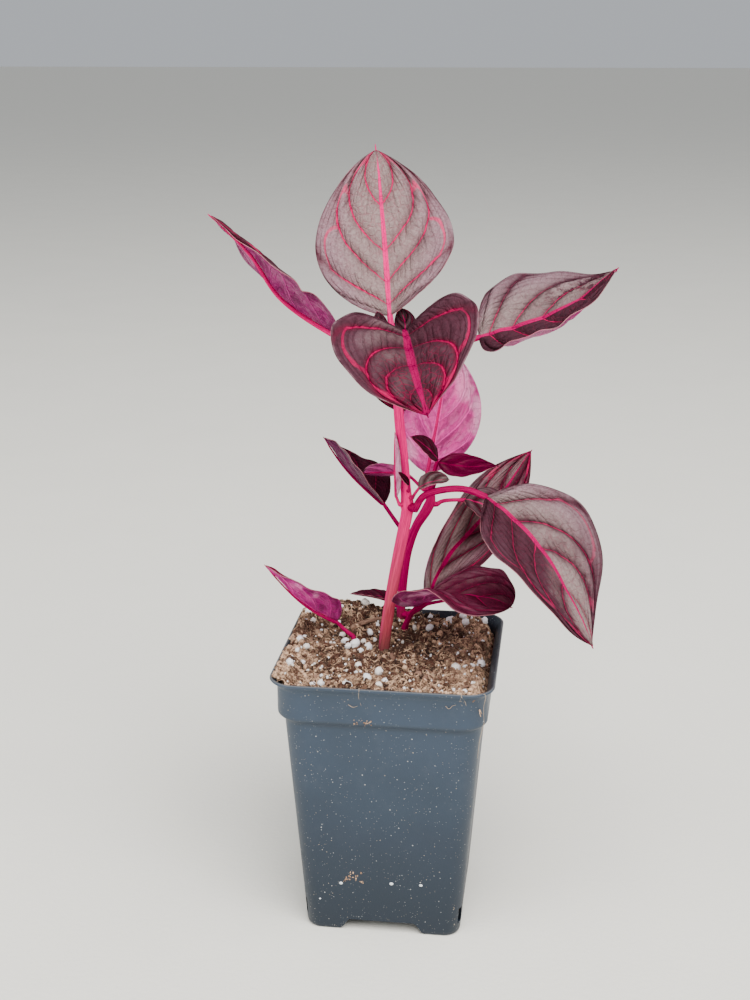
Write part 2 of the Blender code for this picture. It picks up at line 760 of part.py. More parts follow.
def stem_at(path, height):
    """Axis point and radius of a stem at a height."""
    knots = np.array(path, float)
    fine = through(knots, np.linspace(0.0, 1.0, 400))
    nearest = fine[np.argmin(np.abs(fine[:, 2] - height))]
    return nearest[:3], nearest[3]


def seat_points(leaf):
    """First points of a petiole: just off the stem's surface, or down in its hole in the mix."""
    kind = leaf["seat"][0]
    if kind == "potting_mix":
        x, y, top = leaf["seat"][1:]
        return [np.array((x, y, MIX_LEVEL - PETIOLE_DEPTH)), np.array((x, y, top))]
    height, bearing = leaf["seat"][1:]
    axis, radius = stem_at(STEM_PATHS[kind], height)
    if bearing == "top":
        outward, radius = np.array([0.0, 0.0, 1.0]), 0.0
    else:
        turn = math.radians(bearing)
        outward = np.array([math.cos(turn), math.sin(turn), 0.0])
    near = axis + outward * (radius + CLEARANCE)
    return [near, near + outward * leaf["petiole"] * SEAT_RUN]


def rib_frames(leaf, along):
    """Points of the midrib with its direction, the upper side's normal and the way to the right."""
    step = 1e-3
    points = through(leaf["rib"], along)
    ahead = through(leaf["rib"], np.clip(along + step, 0.0, 1.0))
    behind = through(leaf["rib"], np.clip(along - step, 0.0, 1.0))
    forward = unit(ahead - behind)
    base, tip = unit(leaf["face"][0]), unit(leaf["face"][1])
    normal = base * (1 - along[..., None]) + tip * along[..., None]
    normal = unit(normal - (normal * forward).sum(-1, keepdims=True) * forward)
    return points, normal, np.cross(forward, normal)


def half_width(leaf, along):
    """Half width of the blade at fractions of its length."""
    base, tip = leaf["powers"]
    widest = base / (base + tip)
    top = widest**base * (1 - widest) ** tip
    return leaf["half_width"] * along**base * (1 - along) ** tip / top


def across(distance, reach, fold, curl):
    """Sideways and upward offset at a distance over a folded and curled half blade."""
    bend = np.where(np.abs(curl) < 1e-4, 1e-4, curl) / reach
    side = (np.sin(fold + bend * distance) - np.sin(fold)) / bend
    rise = (np.cos(fold) - np.cos(fold + bend * distance)) / bend
    return side, rise


def base_to_tip(leaf, field, along):
    """Angle in radians, at fractions of the blade's length, of a list from base to tip."""
    angles = leaf.get(field, (0.0, 0.0))
    return np.radians(np.interp(along, np.linspace(0.0, 1.0, len(angles)), angles))


def quilting(leaf, row, out, along):
    """Height of the swells between the side veins."""
    pairs = DETAIL[leaf["detail"]][0]
    fade = np.clip(along / QUILT_FADE, 0, 1) * np.clip((1 - along) / QUILT_FADE, 0, 1)
    across_blade = np.sin(math.pi * np.minimum(out * QUILT_REACH, 1.0)) ** QUILT_FLATNESS
    size = min(leaf["half_width"] / QUILT_FULL_SIZE, 1.0)
    return QUILT_HEIGHT * size * fade * np.sin(math.pi * row * pairs) ** 2 * across_blade


def blade_point(leaf, row, column):
    """Point of the blade on vein line row, 0 base to 1 tip, at column, -1 left to 1 right.

    Vein lines start close together at the base and sweep forward to the margin. The first
    line runs along the base's own margin, and the last is the tip.
    """
    out = np.abs(column)
    start = row**VEIN_START
    end = BASE_MARGIN + (1 - BASE_MARGIN) * (1 - (1 - row) ** VEIN_SWEEP)
    along = start + (end - start) * (VEIN_STRAIGHT * out + (1 - VEIN_STRAIGHT) * out**3)
    basal = (1 - row) ** BASE_FADE
    distance = half_width(leaf, along) * (out**COLUMN_SPREAD * (1 - basal) + np.sign(out) * basal)
    left = column < 0
    fold = np.where(left, base_to_tip(leaf, "fold_left", along), base_to_tip(leaf, "fold_right", along))
    curl = np.where(left, base_to_tip(leaf, "curl_left", along), base_to_tip(leaf, "curl_right", along))
    side, rise = across(distance, leaf["half_width"], fold, curl)
    rise = rise + quilting(leaf, row, out, along)
    points, normal, right = rib_frames(leaf, along)
    return points + right * (np.sign(column) * side)[..., None] + normal * rise[..., None]


def blade(name, leaf, collection):
    """Leaf blade: a sheet laid along its side veins and given its thickness."""
    pairs, rows_between, columns = DETAIL[leaf["detail"]][:3]
    last_vein = 1.0 - 1.0 / pairs
    half_way = 1.0 - 0.5 / pairs
    rows = np.append(np.linspace(0.0, last_vein, (pairs - 1) * rows_between + 1), (half_way, 1.0))
    bm = bmesh.new()
    bmesh.ops.create_grid(bm, x_segments=2 * columns, y_segments=len(rows) - 1, size=1.0)
    flat = np.array([vert.co[:2] for vert in bm.verts])
    row = np.interp(flat[:, 1], np.linspace(-1.0, 1.0, len(rows)), rows)
    narrow = np.where(np.abs(flat[:, 0]) < NARROW_COLUMN, 0.0, np.sign(flat[:, 0]))
    column = np.where(row > half_way - 0.01, narrow, flat[:, 0])
    for vert, place in zip(bm.verts, blade_point(leaf, row, column)):
        vert.co = place
    bmesh.ops.remove_doubles(bm, verts=bm.verts, dist=0.02)
    bmesh.ops.triangulate(bm, faces=bm.faces, quad_method="SHORT_EDGE")
    sheet = add_object(name, bm, collection)
    thicken = sheet.modifiers.new("thickness", "SOLIDIFY")
    thicken.thickness = BLADE_THICKNESS * MM
    thicken.offset = 0.0
    return sheet


def make_leaf(name, leaf, collection, material):
    """Blade with its midrib and petiole joined to it."""
    sheet = blade(name, leaf, collection)
    seat = seat_points(leaf)
    path = np.vstack([seat, *[[p] for p in leaf["stalk"]], [leaf["rib"][0]]])
    stalk_count, rib_count = DETAIL[leaf["detail"]][3:]
    stalk = np.vstack([path[:1], through(path[1:], np.linspace(0.0, 1.0, stalk_count))])
    along = np.linspace(0.0, RIB_END, rib_count)[1:]
    points, normal, _ = rib_frames(leaf, along)
    radius = leaf["petiole"]
    rib_radii = radius * (RIB_BASE_SHARE - RIB_THINNING * along / RIB_END)
    rib = points - normal * (rib_radii * RIB_RAISE)[:, None]
    stalk_radii = np.linspace(radius, radius * RIB_BASE_SHARE, len(stalk))
    radii = np.concatenate([stalk_radii, rib_radii])
    rod = tube(name + "_rib", np.vstack([stalk, rib]), radii, collection, RIB_SIDES)
    combine(sheet, [rod], "UNION")
    sheet.data.materials.clear()
    sheet.data.materials.append(material)
    shade_round(sheet, 60.0)
    return sheet


def clear_scene():
    """Remove what the scene holds."""
    for thing in list(bpy.data.objects):
        bpy.data.objects.remove(thing)


def make_plant():
    """The whole object."""
    clear_scene()
    plant = bpy.data.collections.new("bloodleaf_plant")
    cutters = bpy.data.collections.new("cutters")
    bpy.context.scene.collection.children.link(plant)
    bpy.context.scene.collection.children.link(cutters)
    make_pot(plant, cutters)
    make_mix(plant, cutters)
    make_stem("main_stem", MAIN_STEM, plant, (0.62, 0.03, 0.12))
    make_stem("back_stem", BACK_STEM, plant, (0.45, 0.01, 0.12))
    leaf_material = new_material("leaf", (0.10, 0.035, 0.05), 0.5)
    for name, leaf in LEAVES.items():
        make_leaf(name, leaf, plant, leaf_material)


make_plant()
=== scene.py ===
"""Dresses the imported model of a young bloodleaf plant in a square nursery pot.

Veined blades, ridged stems, crumbly potting mix and a moulded pot stand in the places of the
plain solids. Lengths are in millimetres from the pot's centre until a mesh is made.
"""

import math

import bmesh
import bpy
import numpy as np
from bpy.props import FloatProperty, FloatVectorProperty, IntProperty, PointerProperty
from mathutils import Matrix, Vector


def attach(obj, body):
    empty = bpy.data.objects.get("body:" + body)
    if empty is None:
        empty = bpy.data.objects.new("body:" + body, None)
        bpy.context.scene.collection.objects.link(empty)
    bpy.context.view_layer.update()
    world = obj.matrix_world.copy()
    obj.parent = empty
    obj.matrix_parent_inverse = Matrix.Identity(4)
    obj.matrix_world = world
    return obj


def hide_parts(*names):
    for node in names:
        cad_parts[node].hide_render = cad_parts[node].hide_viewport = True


bl_info = {
    "name": "Bloodleaf in a nursery pot",
    "version": (1, 0, 0),
    "blender": (4, 5, 0),
    "location": "3D View > Sidebar > Bloodleaf",
    "description": "Builds the leaves, stems, potting mix and pot over the plain solids",
    "category": "Object",
}

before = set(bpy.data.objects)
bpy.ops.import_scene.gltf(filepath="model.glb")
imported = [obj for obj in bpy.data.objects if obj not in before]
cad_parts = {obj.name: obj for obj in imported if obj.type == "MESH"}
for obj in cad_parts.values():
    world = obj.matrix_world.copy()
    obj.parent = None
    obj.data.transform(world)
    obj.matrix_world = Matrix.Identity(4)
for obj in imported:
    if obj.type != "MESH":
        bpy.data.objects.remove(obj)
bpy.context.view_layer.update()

MM = 0.001
POT_CENTRE = np.array((-8.6, 2.2, 0.0))
SEED = 11

# Pot
POT_HEIGHT = 114.5
POT_BASE_HALF = 32.0
POT_BODY_TOP_HALF = 39.6
POT_BAND_HALF = 41.9
POT_LIP_HALF = 44.5
POT_BAND_BOTTOM = 97.5
POT_BAND_TOP = 110.6
POT_WALL = 0.9
POT_FLOOR_BOTTOM = 6.0
POT_FLOOR_TOP = 7.4
POT_CORNER_BASE = 6.5
POT_CORNER_TOP = 11.0
POT_CORNER_STEPS = 14
NOTCH_WIDTH = 36.0
NOTCH_HEIGHT = 5.2
NOTCH_SLANT = 5.0
NOTCH_STEP = 0.2
NOTCH_FLARE = 1.2
DRAIN_RADIUS = 3.5
DRAIN_TOP = 10.0
DRAIN_SIDES = 28
DRAIN_SPACING = 17.0
CORNER_SLOT_WIDTH = 2.6
CORNER_SLOT_BOTTOM = 5.0
CORNER_SLOT_TOP = 12.2
CORNER_SLOT_SHIFT = 2.6
CORNER_SLOT_REACH = 4.5
POT_SHARP_ANGLE = 38.0

# The pot's last rings, down the inside, which carry painted shade
SHADED_INNER_RINGS = 7

# Potting mix: level, rise to the back, mound at the back left, sunk right edge, raised left edge
MIX_LEVEL = 110.0
MIX_BACK_RISE = 3.6
MIX_BACK_START = 22.0
MIX_BACK_RUN = 5.0
MIX_MOUND = 4.6
MIX_MOUND_X = -20.0
MIX_MOUND_Y = 34.0
MIX_MOUND_REACH = 18.0
MIX_SUNK = 6.0
MIX_SUNK_START = 38.4
MIX_SUNK_RUN = 0.7
MIX_RAISED = 3.8
MIX_RAISED_START = -37.2
MIX_RAISED_RUN = 1.2
MIX_RINGS = 96
MIX_CORNER_STEPS = 89
MIX_GAP = 0.35
LUMPS = 60
LUMP_HEIGHT = 1.5
LUMP_REACH = 3.4
STEM_HOLLOW = 1.4
STEM_HOLLOW_REACH = 3.6

# Where loose pieces lie: how far out on the mix, round its corners, and out on the lip's flare
SPOT_EDGE = 40.2
SPOT_CORNER_START = 31.0
SPOT_CORNER_REACH = 10.0
FIBRE_EDGE = 40.5
FRINGE_START = 39.6
FRINGE_RUN = 37.0
FRINGE_LEFT = 3.8
FRINGE_FRONT = 2.6

# Larger perlite grains, as (x, y, radius)
PERLITE = (
    (-35.3, 28.3, 1.7), (-39.4, 26.7, 1.4), (-36.7, 21.8, 1.2), (-32.6, 18.4, 0.8), (-39.1, 3.5, 1.5),
    (-37.7, 8.2, 0.9), (-35.9, -0.3, 1.2), (-38.5, -6.7, 1.1), (-20.9, 9.6, 1.3), (-16.2, 6.4, 1.8),
    (-13.3, 10.7, 1.1), (-10.5, 5.8, 1.6), (-13.6, 3.9, 1.3), (-19.2, 5.2, 1.1), (-23.2, 15.4, 1.1),
    (-25.7, 22.9, 0.9), (-11.4, 17.0, 1.3), (-8.9, 12.9, 0.8), (-2.9, 22.6, 0.8), (-9.1, 23.0, 0.9),
    (-15.9, 36.4, 1.5), (12.4, 37.6, 1.1), (21.8, 37.0, 1.2), (21.0, 32.0, 1.3), (28.2, 32.6, 1.5),
    (13.5, 23.9, 1.5), (6.8, 25.3, 1.1), (26.8, 37.3, 1.7), (36.2, 36.0, 1.3), (33.9, -4.9, 1.0),
    (37.2, -2.1, 1.4), (31.1, -6.6, 0.9), (27.3, -8.3, 1.9), (-3.0, -19.1, 1.6), (-6.8, -27.1, 1.7),
    (-14.0, -30.6, 1.6), (0.3, -24.9, 1.2), (-1.3, -32.3, 1.2), (-12.1, -14.3, 1.1), (-14.0, -10.6, 0.7),
    (-10.2, -7.0, 0.6), (-38.8, -22.4, 1.4), (-31.8, -20.2, 0.7), (-25.7, -23.3, 0.7), (-25.4, -7.3, 0.6),
    (3.1, 12.3, 0.6), (18.8, 13.9, 0.7), (2.2, -5.6, 0.6), (20.5, -9.1, 0.6), (6.2, -9.3, 0.7),
    (8.7, -31.5, 0.6), (6.4, -37.1, 0.6), (17.4, -27.1, 0.7), (28.4, -33.8, 0.7), (32.6, -33.4, 1.0),
    (-27.5, -33.9, 1.2), (-24.5, -32.4, 1.1), (-35.0, -13.1, 1.0), (36.5, 18.5, 0.8), (-9.8, -34.9, 0.7),
)

# Twig as points, sticks as (start, end, radius), dried drops on the front as (x, z, radius)
TWIG = ((-19.3, 17.6), (-13.0, 23.0), (-6.8, 28.0))
STICKS = (
    ((31.0, -30.5), (38.0, -25.5), 0.5),
    ((-30.0, -37.0), (-22.5, -38.5), 0.4),
    ((-2.0, 35.0), (4.5, 37.5), 0.6),
    ((14.0, -14.0), (20.0, -17.0), 0.35),
    ((-27.0, 6.0), (-22.0, 2.0), 0.45),
    ((22.0, 6.0), (27.0, 12.0), 0.5),
)
DROPS = ((-16.7, 22.8, 0.8), (4.2, 24.1, 0.85), (16.3, 24.3, 0.75), (-25.6, 14.4, 0.45))
FLAKES = 46
SMEAR_CRUMBS = 26
BAND_CRUMBS = 15

# Stems, as (x, y, z, radius) from the buried end to the top
MAIN_STEM = (
    (-4.2, 7.5, 88.0, 2.2),
    (-4.2, 7.5, 109.0, 2.3),
    (-1.8, 7.8, 130.0, 2.35),
    (1.8, 8.3, 152.0, 2.4),
    (4.9, 8.8, 169.0, 2.4),
    (5.2, 8.8, 173.0, 2.75),
    (4.6, 8.7, 179.0, 2.15),
    (3.4, 8.5, 193.0, 2.05),
    (1.7, 8.3, 209.0, 1.95),
    (0.8, 8.2, 223.0, 1.85),
    (0.3, 8.1, 232.0, 2.0),
    (0.1, 8.1, 234.5, 2.35),
    (-0.2, 8.0, 238.0, 1.9),
    (-0.5, 8.0, 241.5, 1.6),
)
BACK_STEM = (
    (0.3, 31.2, 88.0, 1.7),
    (0.3, 31.2, 116.0, 1.8),
    (0.5, 32.3, 124.0, 1.85),
    (1.2, 33.4, 134.0, 1.85),
    (2.7, 34.6, 145.0, 1.9),
    (5.9, 36.1, 155.0, 1.9),
    (10.6, 37.7, 163.0, 2.2),
    (12.0, 38.8, 168.0, 1.9),
    (10.1, 39.6, 174.0, 1.5),
)
STEM_PATHS = {"main_stem": MAIN_STEM, "back_stem": BACK_STEM}
STEM_FINE_STEPS = 14

# Heights between which a stem turns from woody to bright, and how bright it gets
STEM_AGES = {"main_stem": (115.0, 190.0, 1.0), "back_stem": (90.0, 110.0, 0.42)}
STEM_SIDES = 30
STEM_RIDGES = 5

# Leaves: what one has unless it says otherwise
PLAIN_LEAF = dict(
    stalk=(), curl_left=(0, 0), curl_right=(0, 0), detail="small",
    veins=(0.3, 0.3), ladder=0.1, sheen=0.2, blotch=0.0, wine=0.0, sag=0.0,
)

# The form of each leaf is the same as in the solids. seat is the node that it grows from, with
# height and bearing on a stem, or with x, y and height in the mix. stalk and rib are points of
# petiole and midrib, face the way the upper side looks at base and tip, powers the outline at
# base and tip, fold and curl degrees from base to tip, petiole its radius and mucro the length
# of the fine point.
# Of the looks, rib_band is the width of the pink midrib at its base, bloom how far a dull grey
# film covers the purple (base and tip of the left half, then of the right), the film being partly
# a painted sheen that is set lighter on halves and leaves that catch the light, vein how strong the
# veins are and veins how bright at the midrib and at the margin, under the underside's colour,
# from 0 mature over 1 pale to 2 young, tone how light the blade is, which is partly painted light
# and shade that lifts leaves lying in shade and darkens leaves that are to look shaded, skin how
# light its petiole and midrib are, ladder how far pale bars cross between the veins, sheen how far
# painted sheen highlights, in pale patches and pleats, cover the underside, blotch how far dark
# marbling breaks the film toward the tip, wine how far the purple turns to red and sag how far
# the film thins at mid length.
LEAVES = {
    "leaf_top_back": dict(
        PLAIN_LEAF,
        seat=("main_stem", 241.5, "top"), stalk=((-1.4, 8.2, 246.0),),
        rib=((-2.2, 8.6, 250.8), (-7.5, 32.9, 276.3), (-12.9, 48.0, 311.5)),
        face=((-0.04, -0.86, 0.51), (0.28, -0.74, 0.61)), half_width=28.5, powers=(0.62, 0.77),
        fold_left=(14, 9), fold_right=(24, 3),
        petiole=1.35, mucro=2.7, detail="large",
        rib_band=2.6, bloom_and_sheen=(0.9, 0.88, 0.7, 0.82), vein=0.45, veins=(1.3, 1.3), under=0.3,
        tone=1.08, skin=1.0, ladder=0.15,
    ),
    "leaf_top_front": dict(
        PLAIN_LEAF,
        seat=("main_stem", 238.5, -85.0), stalk=((2.0, 3.0, 244.0),),
        rib=((4.7, -0.8, 246.2), (11.6, -34.4, 238.8), (20.2, -67.4, 229.7)),
        face=((0.09, -0.26, 0.96), (0.01, -0.91, 0.42)), half_width=32.0, powers=(0.67, 1.09),
        fold_left=(60, 9), fold_right=(34, 10),
        petiole=1.4, mucro=1.0, detail="large",
        rib_band=4.6, bloom_and_sheen=(0.0, 0.0, 0.34, 0.02), vein=0.95, veins=(0.15, 1.25), under=0.2,
        tone=1.15, skin=0.33, ladder=0.12,
    ),
    "leaf_top_left": dict(
        PLAIN_LEAF,
        seat=("main_stem", 233.5, 184.0), stalk=((-10.0, 7.2, 237.0),),
        rib=((-21.8, 6.4, 242.4), (-43.8, 3.7, 257.3), (-54.8, -4.3, 276.1), (-65.9, -19.2, 291.5)),
        face=((0.25, 0.56, 0.79), (0.4, 0.22, 0.89)), half_width=22.6, powers=(0.69, 0.96),
        fold_left=(12, -12), fold_right=(25, 8), curl_left=(10, -23), curl_right=(5, 0),
        petiole=1.35, mucro=2.0, detail="large",
        rib_band=2.0, bloom_and_sheen=(0.1, 0.1, 0.1, 0.1), vein=0.3, veins=(0.5, 0.5), under=0.0, tone=0.95,
        skin=0.9, sheen=0.4,
    ),
    "leaf_top_right": dict(
        PLAIN_LEAF,
        seat=("main_stem", 233.5, 4.0), stalk=((12.0, 9.0, 236.5), (22.0, 9.8, 239.5)),
        rib=((32.7, 10.4, 242.7), (52.7, 9.8, 248.9), (71.1, 5.2, 258.9), (84.1, -6.5, 272.8)),
        face=((0.37, -0.28, 0.88), (-0.12, -0.24, 0.96)), half_width=26.2, powers=(0.5, 0.91),
        fold_left=(37, 0), fold_right=(-12, -37), curl_right=(70, 72),
        petiole=1.35, mucro=1.6, detail="large",
        rib_band=2.2, bloom_and_sheen=(0.85, 0.55, -0.1, -0.1), vein=0.35, veins=(1.1, -0.2), under=0.35,
        tone=1.02, skin=0.5, sheen=0.4, blotch=1.0,
    ),
    "leaf_top_hanging": dict(
        PLAIN_LEAF,
        seat=("main_stem", 231.0, 100.0),
        rib=((0.2, 13.6, 236.5), (-2.0, 17.0, 225.6), (2.5, 16.0, 210.5)),
        face=((0.0, -0.9, 0.4), (0.0, -0.95, 0.2)), half_width=11.0, powers=(0.7, 0.8),
        fold_left=(10, 10), fold_right=(10, 10),
        petiole=0.9, mucro=0.8,
        rib_band=1.2, bloom_and_sheen=(0.4, 0.4, 0.4, 0.4), vein=0.1, under=0.1, tone=0.8, skin=0.6,
    ),
    "leaf_mid_right": dict(
        PLAIN_LEAF,
        seat=("main_stem", 173.0, -38.0),
        stalk=((12.7, 3.7, 179.3), (20.9, 1.7, 182.6), (29.0, -0.2, 183.6)),
        rib=((37.3, -2.3, 181.5), (60.8, -18.0, 164.5), (81.0, -36.1, 134.2)),
        face=((0.21, -0.69, 0.69), (0.75, -0.6, 0.29)), half_width=26.7, powers=(0.95, 0.91),
        fold_left=(35, -30), fold_right=(18, 2), curl_left=(7, 8), curl_right=(0, 50),
        petiole=1.45, mucro=1.2, detail="large",
        rib_band=2.2, bloom_and_sheen=(1.05, 1.15, -0.05, 0.9), vein=0.3, veins=(0.35, 0.3), under=0.3,
        tone=1.05, skin=0.45, blotch=0.15, sag=0.6,
    ),
    "leaf_low_right": dict(
        PLAIN_LEAF,
        seat=("potting_mix", 2.8, 23.6, 114.0), stalk=((5.2, 20.2, 120.5),),
        rib=((9.1, 15.4, 127.1), (16.9, 7.8, 132.6), (33.3, -1.3, 138.5), (48.8, -6.9, 137.2)),
        face=((-0.04, -0.33, 0.94), (0.39, -0.18, 0.9)), half_width=24.7, powers=(0.62, 0.5),
        fold_left=(12, 0), fold_right=(22, 28, 33, 35, 33, 14, 5, 5),
        petiole=1.2, mucro=0.8, detail="large",
        rib_band=1.5, bloom_and_sheen=(0.3, 0.1, -0.1, -0.1), vein=0.2, veins=(0.4, 0.0), under=0.1, tone=1.2,
        skin=0.5, ladder=0.3, sheen=0.5, wine=0.5,
    ),
    "leaf_low_left": dict(
        PLAIN_LEAF,
        seat=("potting_mix", -18.0, 12.6, 113.2), stalk=((-21.5, 11.2, 116.6),),
        rib=((-24.5, 9.4, 120.7), (-37.6, 0.2, 132.3), (-51.1, -5.7, 149.6)),
        face=((0.24, 0.56, 0.79), (0.4, 0.26, 0.88)), half_width=13.3, powers=(0.65, 0.89),
        fold_left=(40, 19), fold_right=(35, 20),
        petiole=0.9, mucro=1.0, detail="medium",
        rib_band=1.5, bloom_and_sheen=(0.1, 0.1, 0.1, 0.1), vein=0.3, veins=(0.5, 0.5), under=0.05, tone=1.95,
        skin=0.6, sheen=0.4, wine=0.4,
    ),
    "leaf_back_left": dict(
        PLAIN_LEAF,
        seat=("back_stem", 150.0, 130.0), stalk=((-3.0, 38.5, 156.5),),
        rib=((-8.7, 42.6, 162.8), (-24.9, 49.9, 174.7), (-37.0, 58.6, 187.1)),
        face=((0.64, -0.42, 0.65), (0.76, -0.04, 0.65)), half_width=15.5, powers=(0.62, 0.92),
        fold_left=(48, 42), fold_right=(29, 8),
        petiole=1.0, mucro=1.0, detail="medium",
        rib_band=2.2, bloom_and_sheen=(-0.3, -0.3, -0.3, -0.3), vein=0.2, under=0.0, tone=0.4, skin=0.35,
        sheen=0.0, wine=0.6,
    ),
    "leaf_back_right": dict(
        PLAIN_LEAF,
        seat=("back_stem", 117.0, -20.0), stalk=((6.0, 29.5, 119.0),),
        rib=((10.9, 30.4, 122.2), (19.7, 43.0, 140.0), (37.9, 54.0, 160.0), (53.2, 62.0, 183.4)),
        face=((-0.3, -0.75, 0.55), (-0.2, -0.8, 0.5)), half_width=18.0, powers=(0.95, 0.92),
        fold_left=(80, 68, 45, 10), fold_right=(10, 25), curl_left=(20, 40, 25, 0),
        petiole=1.2, mucro=1.0, detail="large",
        rib_band=3.2, bloom_and_sheen=(0.95, 0.4, 0.6, 0.1), vein=0.45, veins=(0.2, 1.0), under=0.3,
        tone=1.35, skin=0.45, ladder=0.2, sheen=0.3, wine=0.2,
    ),
    "leaf_back_upright": dict(
        PLAIN_LEAF,
        seat=("back_stem", 173.0, 100.0),
        rib=((9.8, 43.0, 177.5), (14.0, 49.0, 203.0), (17.5, 54.0, 229.0)),
        face=((0.0, 0.75, 0.6), (0.2, 0.75, 0.6)), half_width=18.5, powers=(0.66, 0.78),
        fold_left=(17, 8), fold_right=(15, 12),
        petiole=1.0, mucro=1.0, detail="large",
        rib_band=2.6, bloom_and_sheen=(0.3, 0.3, 0.3, 0.3), vein=0.6, veins=(0.6, 0.6), under=1.0, tone=1.25,
        skin=0.9, sheen=0.7,
    ),
    "leaf_back_small": dict(
        PLAIN_LEAF,
        seat=("back_stem", 172.5, 20.0), stalk=((13.2, 41.0, 178.0),),
        rib=((14.6, 41.3, 182.6), (26.4, 40.4, 181.3), (39.7, 38.8, 182.7)),
        face=((0.07, -0.66, 0.75), (0.06, -0.37, 0.93)), half_width=6.8, powers=(0.71, 0.93),
        fold_left=(10, 9), fold_right=(7, 14),
        petiole=0.75, mucro=1.0,
        rib_band=1.0, bloom_and_sheen=(0.1, 0.05, 0.1, 0.05), vein=0.1, veins=(0.1, 0.1), under=0.2, tone=1.2,
        skin=0.25, wine=1.0,
    ),
    "leaf_back_bud": dict(
        PLAIN_LEAF,
        seat=("back_stem", 172.5, -60.0), stalk=((13.4, 36.4, 181.0),),
        rib=((14.9, 35.5, 185.5), (10.3, 30.7, 192.1), (4.6, 25.0, 197.8)),
        face=((0.32, -0.64, 0.7), (0.32, -0.67, 0.67)), half_width=4.6, powers=(0.7, 0.91),
        fold_left=(18, 19), fold_right=(11, 12),
        petiole=0.6, mucro=0.6,
        rib_band=0.9, bloom_and_sheen=(0.1, 0.1, 0.1, 0.1), vein=0.3, under=0.2, tone=0.8, skin=0.5, wine=0.4,
    ),
    "leaf_back_inner": dict(
        PLAIN_LEAF,
        seat=("back_stem", 171.0, 185.0), stalk=((3.5, 39.6, 176.0),),
        rib=((0.5, 39.5, 178.0), (-8.0, 38.8, 178.4), (-17.0, 38.1, 177.8)),
        face=((0.0, 0.8, 0.6), (0.0, 0.8, 0.6)), half_width=4.6, powers=(0.6, 0.5),
        fold_left=(15, 15), fold_right=(15, 15),
        petiole=0.7, mucro=0.6,
        rib_band=0.9, bloom_and_sheen=(0.1, 0.1, 0.1, 0.1), vein=0.3, under=0.5, tone=1.0, skin=0.6,
        sheen=0.3,
    ),
    "leaf_back_under": dict(
        PLAIN_LEAF,
        seat=("back_stem", 165.0, 12.0), stalk=((18.0, 38.9, 166.6),),
        rib=((26.3, 39.6, 167.1), (37.0, 38.0, 163.5), (48.0, 36.0, 153.0)),
        face=((0.1, -0.2, 0.95), (0.4, -0.5, 0.7)), half_width=11.0, powers=(0.65, 0.9),
        fold_left=(15, 15), fold_right=(15, 15),
        petiole=0.95, mucro=0.8,
        rib_band=1.2, bloom_and_sheen=(0.45, 0.45, 0.45, 0.45), vein=0.2, under=0.3, tone=0.9, skin=0.75,
    ),
    "leaf_back_low": dict(
        PLAIN_LEAF,
        seat=("back_stem", 120.0, 150.0),
        rib=((-5.0, 36.5, 121.0), (-13.0, 38.5, 121.8), (-23.0, 41.0, 121.5)),
        face=((0.0, 0.1, 1.0), (0.0, 0.1, 1.0)), half_width=6.5, powers=(0.65, 0.8),
        fold_left=(15, 15), fold_right=(15, 15),
        petiole=0.8, mucro=0.6,
        rib_band=1.0, bloom_and_sheen=(0.1, 0.1, 0.1, 0.1), vein=0.2, under=0.2, tone=0.6, skin=0.4, wine=0.5,
    ),
    "young_leaf_left": dict(
        PLAIN_LEAF,
        seat=("main_stem", 174.0, 215.0),
        rib=((1.0, 5.6, 177.5), (0.5, 4.9, 190.0), (0.2, 6.4, 204.0)),
        face=((0.5, 0.5, 0.1), (0.5, 0.5, 0.1)), half_width=2.6, powers=(0.7, 0.8),
        fold_left=(35, 35), fold_right=(35, 35),
        petiole=0.7, mucro=0.6,
        rib_band=0.9, bloom_and_sheen=(0.9, 0.9, 0.9, 0.9), vein=0.2, under=1.9, tone=1.3, skin=0.9,
        sheen=0.6,
    ),
    "young_leaf_right": dict(
        PLAIN_LEAF,
        seat=("main_stem", 177.0, -40.0), stalk=((8.6, 5.4, 179.5),),
        rib=((10.2, 5.0, 181.8), (15.4, 4.6, 184.6), (22.2, 4.6, 186.0)),
        face=((-0.2, -0.7, 0.7), (-0.2, -0.7, 0.7)), half_width=4.6, powers=(0.6, 0.6),
        fold_left=(20, 20), fold_right=(20, 20), curl_left=(60, 50), curl_right=(60, 50),
        petiole=0.7, mucro=0.4,
        rib_band=0.7, bloom_and_sheen=(0.85, 0.7, 0.85, 0.7), vein=0.1, under=1.5, tone=1.0, skin=0.8,
        ladder=0.6, sheen=0.5,
    ),
    "young_leaf_front": dict(
        PLAIN_LEAF,
        seat=("main_stem", 180.0, -62.0),
        rib=((6.2, 4.3, 183.0), (4.4, 3.0, 186.0), (2.1, 2.4, 189.0)),
        face=((0.3, -0.6, 0.7), (0.3, -0.6, 0.7)), half_width=1.6, powers=(0.7, 0.8),
        fold_left=(25, 25), fold_right=(25, 25),
        petiole=0.5, mucro=0.4,
        rib_band=0.5, bloom_and_sheen=(0.1, 0.1, 0.1, 0.1), vein=0.2, under=0.3, tone=0.8, skin=0.6,
    ),
    "bud_leaf_left": dict(
        PLAIN_LEAF,
        seat=("main_stem", 239.5, 175.0),
        rib=((-4.4, 7.6, 243.5), (-6.0, 7.4, 248.0), (-7.2, 7.6, 252.5)),
        face=((0.2, -0.8, 0.5), (0.2, -0.8, 0.5)), half_width=3.0, powers=(0.65, 0.7),
        fold_left=(20, 20), fold_right=(20, 20),
        petiole=0.55, mucro=0.4,
        rib_band=0.6, bloom_and_sheen=(0.2, 0.2, 0.2, 0.2), vein=0.1, under=0.3, tone=0.7, skin=0.5,
    ),
    "bud_leaf_right": dict(
        PLAIN_LEAF,
        seat=("main_stem", 239.5, 40.0),
        rib=((3.0, 11.2, 243.0), (3.2, 13.4, 247.0), (0.8, 16.0, 252.5)),
